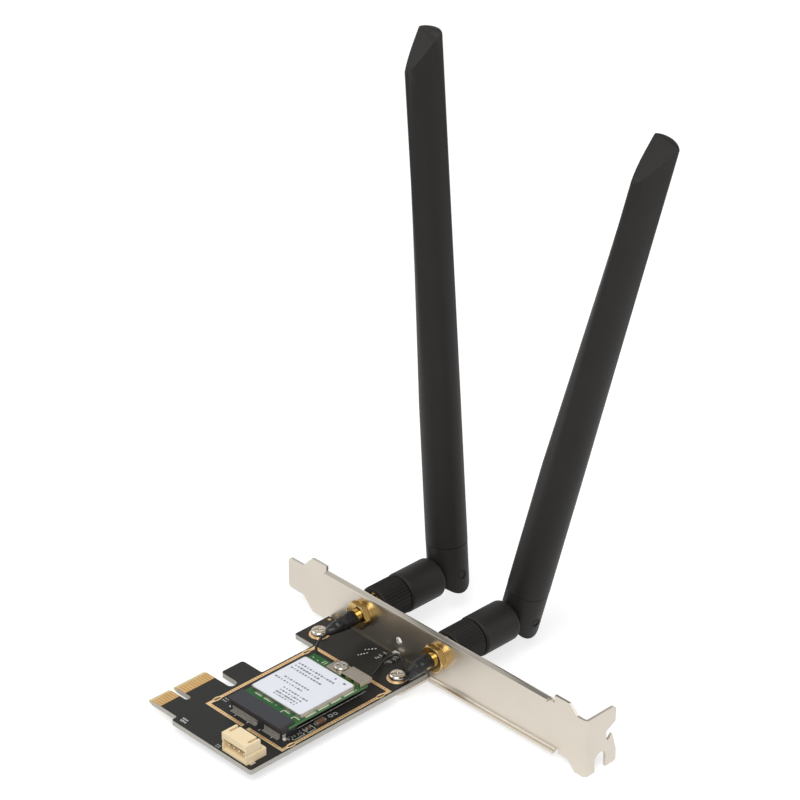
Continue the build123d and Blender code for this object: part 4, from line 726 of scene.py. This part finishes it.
thread_tree, thread = start_tree("jack_thread", Turns="Float", Pitch="Float", Radius="Float",
                                 Crest="Float", Start="Vector", Metal="Material")
climb = add(thread_tree, "ShaderNodeMath", {0: thread["Turns"], 1: thread["Pitch"]},
            operation="MULTIPLY")
helix = add(thread_tree, "GeometryNodeCurveSpiral", {
    "Resolution": ROUND_SIDES, "Rotations": thread["Turns"], "Start Radius": thread["Radius"],
    "End Radius": thread["Radius"], "Height": climb.outputs[0]})
ridge = add(thread_tree, "GeometryNodeCurvePrimitiveCircle", {
    "Resolution": DIAMOND_SIDES, "Radius": thread["Crest"]})
swept = add(thread_tree, "GeometryNodeCurveToMesh", {
    "Curve": helix.outputs[0], "Profile Curve": ridge.outputs[0], "Fill Caps": True})
laid = add(thread_tree, "GeometryNodeTransform", {
    "Geometry": swept.outputs[0], "Translation": thread["Start"], "Rotation": (0, pi / 2, 0)})
end_tree(thread_tree, laid.outputs[0], thread["Metal"])

# %% Threads
THREAD_PITCH = 0.7
THREAD_RADIUS = 3.0
THREAD_CREST = 0.28
THREAD_GAP = 0.1
TURNS = {"left": 4.0, "right": 2.8}
NUT_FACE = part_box("jack_nuts")[1].x


def jack_middle(side):
    """The Y and Z of a jack's own axis."""
    low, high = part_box("jack_pin_" + side)
    return (low.y + high.y) / 2, (low.z + high.z) / 2


for side, turns in TURNS.items():
    start = Vector((NUT_FACE + THREAD_GAP * MM, *jack_middle(side)))
    mesh = grow(thread_tree, Turns=turns, Pitch=THREAD_PITCH * MM, Radius=THREAD_RADIUS * MM,
                Crest=THREAD_CREST * MM, Start=start, Metal=turned_brass)
    add_piece("jack_thread_" + side, [mesh], turned_brass)

# %% [markdown]
# ## Shrunk sleeves
#
# Heat-shrink tube is a soft plastic tube that pulls tight when it is warmed. Over the crimp it
# stays round; past its end it collapses on the thin coax, and because it never shrinks evenly its
# skin is lumpy. The tree takes a line of points with a radius at each, bends a smooth curve
# through them, sweeps a circle along it and pushes the skin in and out with a noise.

# %% The tree for a sleeve
LUMP_IN = -1.0
LUMP_OUT = 0.2

sleeve_tree, sleeve = start_tree("shrunk_sleeve", Rings="Int", Lump="Float", Depth="Float",
                                 Skin="Material")
spine = add(sleeve_tree, "GeometryNodeMeshToCurve", {"Mesh": sleeve["Base"]})
spine = add(sleeve_tree, "GeometryNodeCurveSplineType", {"Curve": spine.outputs[0]},
            spline_type="CATMULL_ROM")
spine = add(sleeve_tree, "GeometryNodeResampleCurve", {
    "Curve": spine.outputs[0], "Count": sleeve["Rings"]})
hoop = add(sleeve_tree, "GeometryNodeCurvePrimitiveCircle", {
    "Resolution": ROUND_SIDES, "Radius": 1.0})
girth = add(sleeve_tree, "GeometryNodeInputRadius")
tube = add(sleeve_tree, "GeometryNodeCurveToMesh", {
    "Curve": spine.outputs[0], "Profile Curve": hoop.outputs[0], "Scale": girth.outputs[0],
    "Fill Caps": True})
spot = add(sleeve_tree, "GeometryNodeInputPosition")
lumps = add(sleeve_tree, "ShaderNodeTexNoise", {
    "Vector": spot.outputs[0], "Scale": sleeve["Lump"], "Detail": 1.5})
push = add(sleeve_tree, "ShaderNodeMapRange", {
    "Value": lumps.outputs["Fac"], "From Min": NOISE_LOW, "From Max": NOISE_HIGH,
    "To Min": LUMP_IN, "To Max": LUMP_OUT})
push = add(sleeve_tree, "ShaderNodeMath", {0: push.outputs[0], 1: sleeve["Depth"]},
           operation="MULTIPLY")
outwards = add(sleeve_tree, "GeometryNodeInputNormal")
push = add(sleeve_tree, "ShaderNodeVectorMath", {
    0: outwards.outputs[0], "Scale": push.outputs[0]}, operation="SCALE")
skin = add(sleeve_tree, "GeometryNodeSetPosition", {
    "Geometry": tube.outputs[0], "Offset": push.outputs[0]})
skin = add(sleeve_tree, "GeometryNodeSetShadeSmooth", {"Geometry": skin.outputs[0]})
end_tree(sleeve_tree, skin.outputs[0], sleeve["Skin"])

# %% Sleeves
SLEEVE_RINGS = 52
SLEEVE_LUMP = 1.9
SLEEVE_DEPTH = 0.42
LAP = [(-4.0, 0, 0, 2.4), (-4.6, 0, 0, 2.45), (-6.7, 0, 0, 2.45)]
SLEEVES = {
    # along the jack, aside, up, radius; from the jack's own middle at the bracket's inner face
    "left": LAP + [(-8.4, 0, 0, 2.35), (-10.5, 0, -0.15, 2.1), (-12.4, 0.1, -0.45, 1.75),
                   (-13.9, 0.2, -0.9, 1.35), (-14.6, 0.2, -1.15, 0.5)],
    "right": LAP + [(-8.2, 0.2, -0.3, 2.3), (-9.1, 0.8, -1.2, 2.1), (-9.8, 1.5, -2.5, 1.7),
                    (-10.2, 2.1, -3.4, 1.3), (-10.4, 2.35, -3.85, 0.5)],
}
INNER_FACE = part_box("jack_washers")[1].x

for side, stations in SLEEVES.items():
    middle_y, middle_z = jack_middle(side)
    spine_mesh = bpy.data.meshes.new("spine")
    spine_mesh.from_pydata(
        [(INNER_FACE + x * MM, middle_y + y * MM, middle_z + z * MM) for x, y, z, _ in stations],
        [(i, i + 1) for i in range(len(stations) - 1)], [])
    girths = spine_mesh.attributes.new("radius", "FLOAT", "POINT")
    girths.data.foreach_set("value", [station[3] * MM for station in stations])
    mesh = grow(sleeve_tree, spine_mesh, Rings=SLEEVE_RINGS, Lump=per_mm(SLEEVE_LUMP),
                Depth=SLEEVE_DEPTH * MM, Skin=shrink_tube)
    piece = add_piece("shrunk_sleeve_" + side, [mesh], shrink_tube)
    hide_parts("heat_shrink_" + side)

# %% [markdown]
# ## Lips round the hinge pins
#
# Where the pin was pressed through the cheeks of the hinge, the plastic keeps a thin raised lip,
# seen as a small circle on the side of each aerial. The circle lies on a round cheek, so its
# points are lifted to that cylinder, and a tree sweeps a thin bead along them.

# %% The tree for a bead
BEAD_SIDES = 8

bead_tree, bead = start_tree("bead_along_line", Girth="Float", Skin="Material")
path = add(bead_tree, "GeometryNodeMeshToCurve", {"Mesh": bead["Base"]})
section = add(bead_tree, "GeometryNodeCurvePrimitiveCircle", {
    "Resolution": BEAD_SIDES, "Radius": bead["Girth"]})
swept = add(bead_tree, "GeometryNodeCurveToMesh", {
    "Curve": path.outputs[0], "Profile Curve": section.outputs[0]})
swept = add(bead_tree, "GeometryNodeSetShadeSmooth", {"Geometry": swept.outputs[0]})
end_tree(bead_tree, swept.outputs[0], bead["Skin"])

# %% Lips
LIP_RADIUS = 1.4
LIP_BEAD = 0.12
LIP_POINTS = 48
CHEEK_RADIUS = 6.2
OUTWARD = Vector((1, 0, 0))
joints = {joint["name"]: joint for joint in frame["joints"]}


def hinge_axes(side):
    """The middle of an aerial's hinge, the direction of its pin, and the one up the aerial."""
    joint = joints[side + "_tilt"]
    pin = Vector(joint["axis"]).normalized()
    return Vector(joint["pos_m"]), pin, OUTWARD.cross(pin).normalized()


for side in SIDES:
    pivot, pin, rise = hinge_axes(side)
    meshes = []
    for cheek in (-1, 1):
        corners = []
        for k in range(LIP_POINTS):
            turn = 2 * pi * k / LIP_POINTS
            u, v = LIP_RADIUS * cos(turn), LIP_RADIUS * sin(turn)
            depth = cheek * sqrt(CHEEK_RADIUS ** 2 - u ** 2)
            corners.append(pivot + (OUTWARD * u + rise * v + pin * depth) * MM)
        circle = bpy.data.meshes.new("circle")
        circle.from_pydata(corners, [(k, (k + 1) % LIP_POINTS) for k in range(LIP_POINTS)], [])
        meshes.append(grow(bead_tree, circle, Girth=LIP_BEAD * MM, Skin=aerial_abs))
    add_piece("pin_lip_" + side, meshes, aerial_abs, side + "_blade")

# %% [markdown]
# ## Rounded tips on the aerials
#
# The top of each aerial is cut off at a slant, and its back corner is round, as a mould leaves
# it. In the CAD solid that corner is sharp. A bevel breaks on the many narrow faces of the keel,
# so a copy of each sleeve is instead cut by a turned shape: a post with a round shoulder on a
# wide foot. The post is as wide as the aerial's round back, so it takes off only the corner.

# %% Round the tips
SHOULDER = 1.3
SHOULDER_STEPS = 8
POST_SIDES = 96
POST_FOOT = -40
POST_WIDE = 40
WELD = 0.002
SHARP = radians(30)


def plain_object(name, shape):
    """A new object that holds a bmesh, which is freed."""
    mesh = bpy.data.meshes.new(name)
    shape.to_mesh(mesh)
    shape.free()
    item = bpy.data.objects.new(name, mesh)
    bpy.context.scene.collection.objects.link(item)
    return item


def turned_post(pivot, pin, rise, profile):
    """A post about an aerial's own axis, turned from pairs of radius and height, as a bmesh."""
    post = bmesh.new()
    turns = [2 * pi * step / POST_SIDES for step in range(POST_SIDES)]
    rings = [[post.verts.new(pivot + rise * high + (OUTWARD * cos(turn) + pin * sin(turn)) * reach)
              for turn in turns] for reach, high in profile]
    for lower, upper in zip(rings, rings[1:]):
        for step in range(POST_SIDES):
            follow = (step + 1) % POST_SIDES
            post.faces.new((lower[step], lower[follow], upper[follow], upper[step]))
    post.faces.new(rings[0])
    post.faces.new(rings[-1])
    bmesh.ops.recalc_face_normals(post, faces=post.faces)
    return post


def rounded_tip(side):
    """A copy of an aerial's sleeve with the back corner of its tip rounded."""
    pivot, pin, rise = hinge_axes(side)
    shape = bmesh.new()
    shape.from_mesh(nodes["aerial_sleeve_" + side].data)
    bmesh.ops.remove_doubles(shape, verts=shape.verts, dist=WELD * MM)
    spots = [vert.co - pivot for vert in shape.verts]
    top = max(spot.dot(rise) for spot in spots)
    low = top - SHOULDER * MM
    back = max(spot.dot(OUTWARD) for spot in spots if spot.dot(rise) > low)
    print(side, "tip", round(top / MM, 2), "mm up, back", round(back / MM, 2), "mm out")
    profile = [(POST_WIDE * MM, POST_FOOT * MM), (POST_WIDE * MM, low)]
    for step in range(SHOULDER_STEPS + 1):
        turn = pi / 2 * step / SHOULDER_STEPS
        profile.append((back - SHOULDER * MM * (1 - cos(turn)), low + SHOULDER * MM * sin(turn)))
    shell = plain_object("shell", shape)
    cutter = plain_object("post", turned_post(pivot, pin, rise, profile))
    cut = shell.modifiers.new("round", "BOOLEAN")
    cut.operation = "INTERSECT"
    cut.solver = "EXACT"
    cut.object = cutter
    graph = bpy.context.evaluated_depsgraph_get()
    mesh = bpy.data.meshes.new_from_object(shell.evaluated_get(graph))
    for item in (shell, cutter):
        bpy.data.objects.remove(item)
    mesh.polygons.foreach_set("use_smooth", [True] * len(mesh.polygons))
    mesh.set_sharp_from_angle(angle=SHARP)
    return mesh


for side in SIDES:
    piece = add_piece("aerial_shell_" + side, [rounded_tip(side)], aerial_abs,
                      side + "_blade")
    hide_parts("aerial_sleeve_" + side)
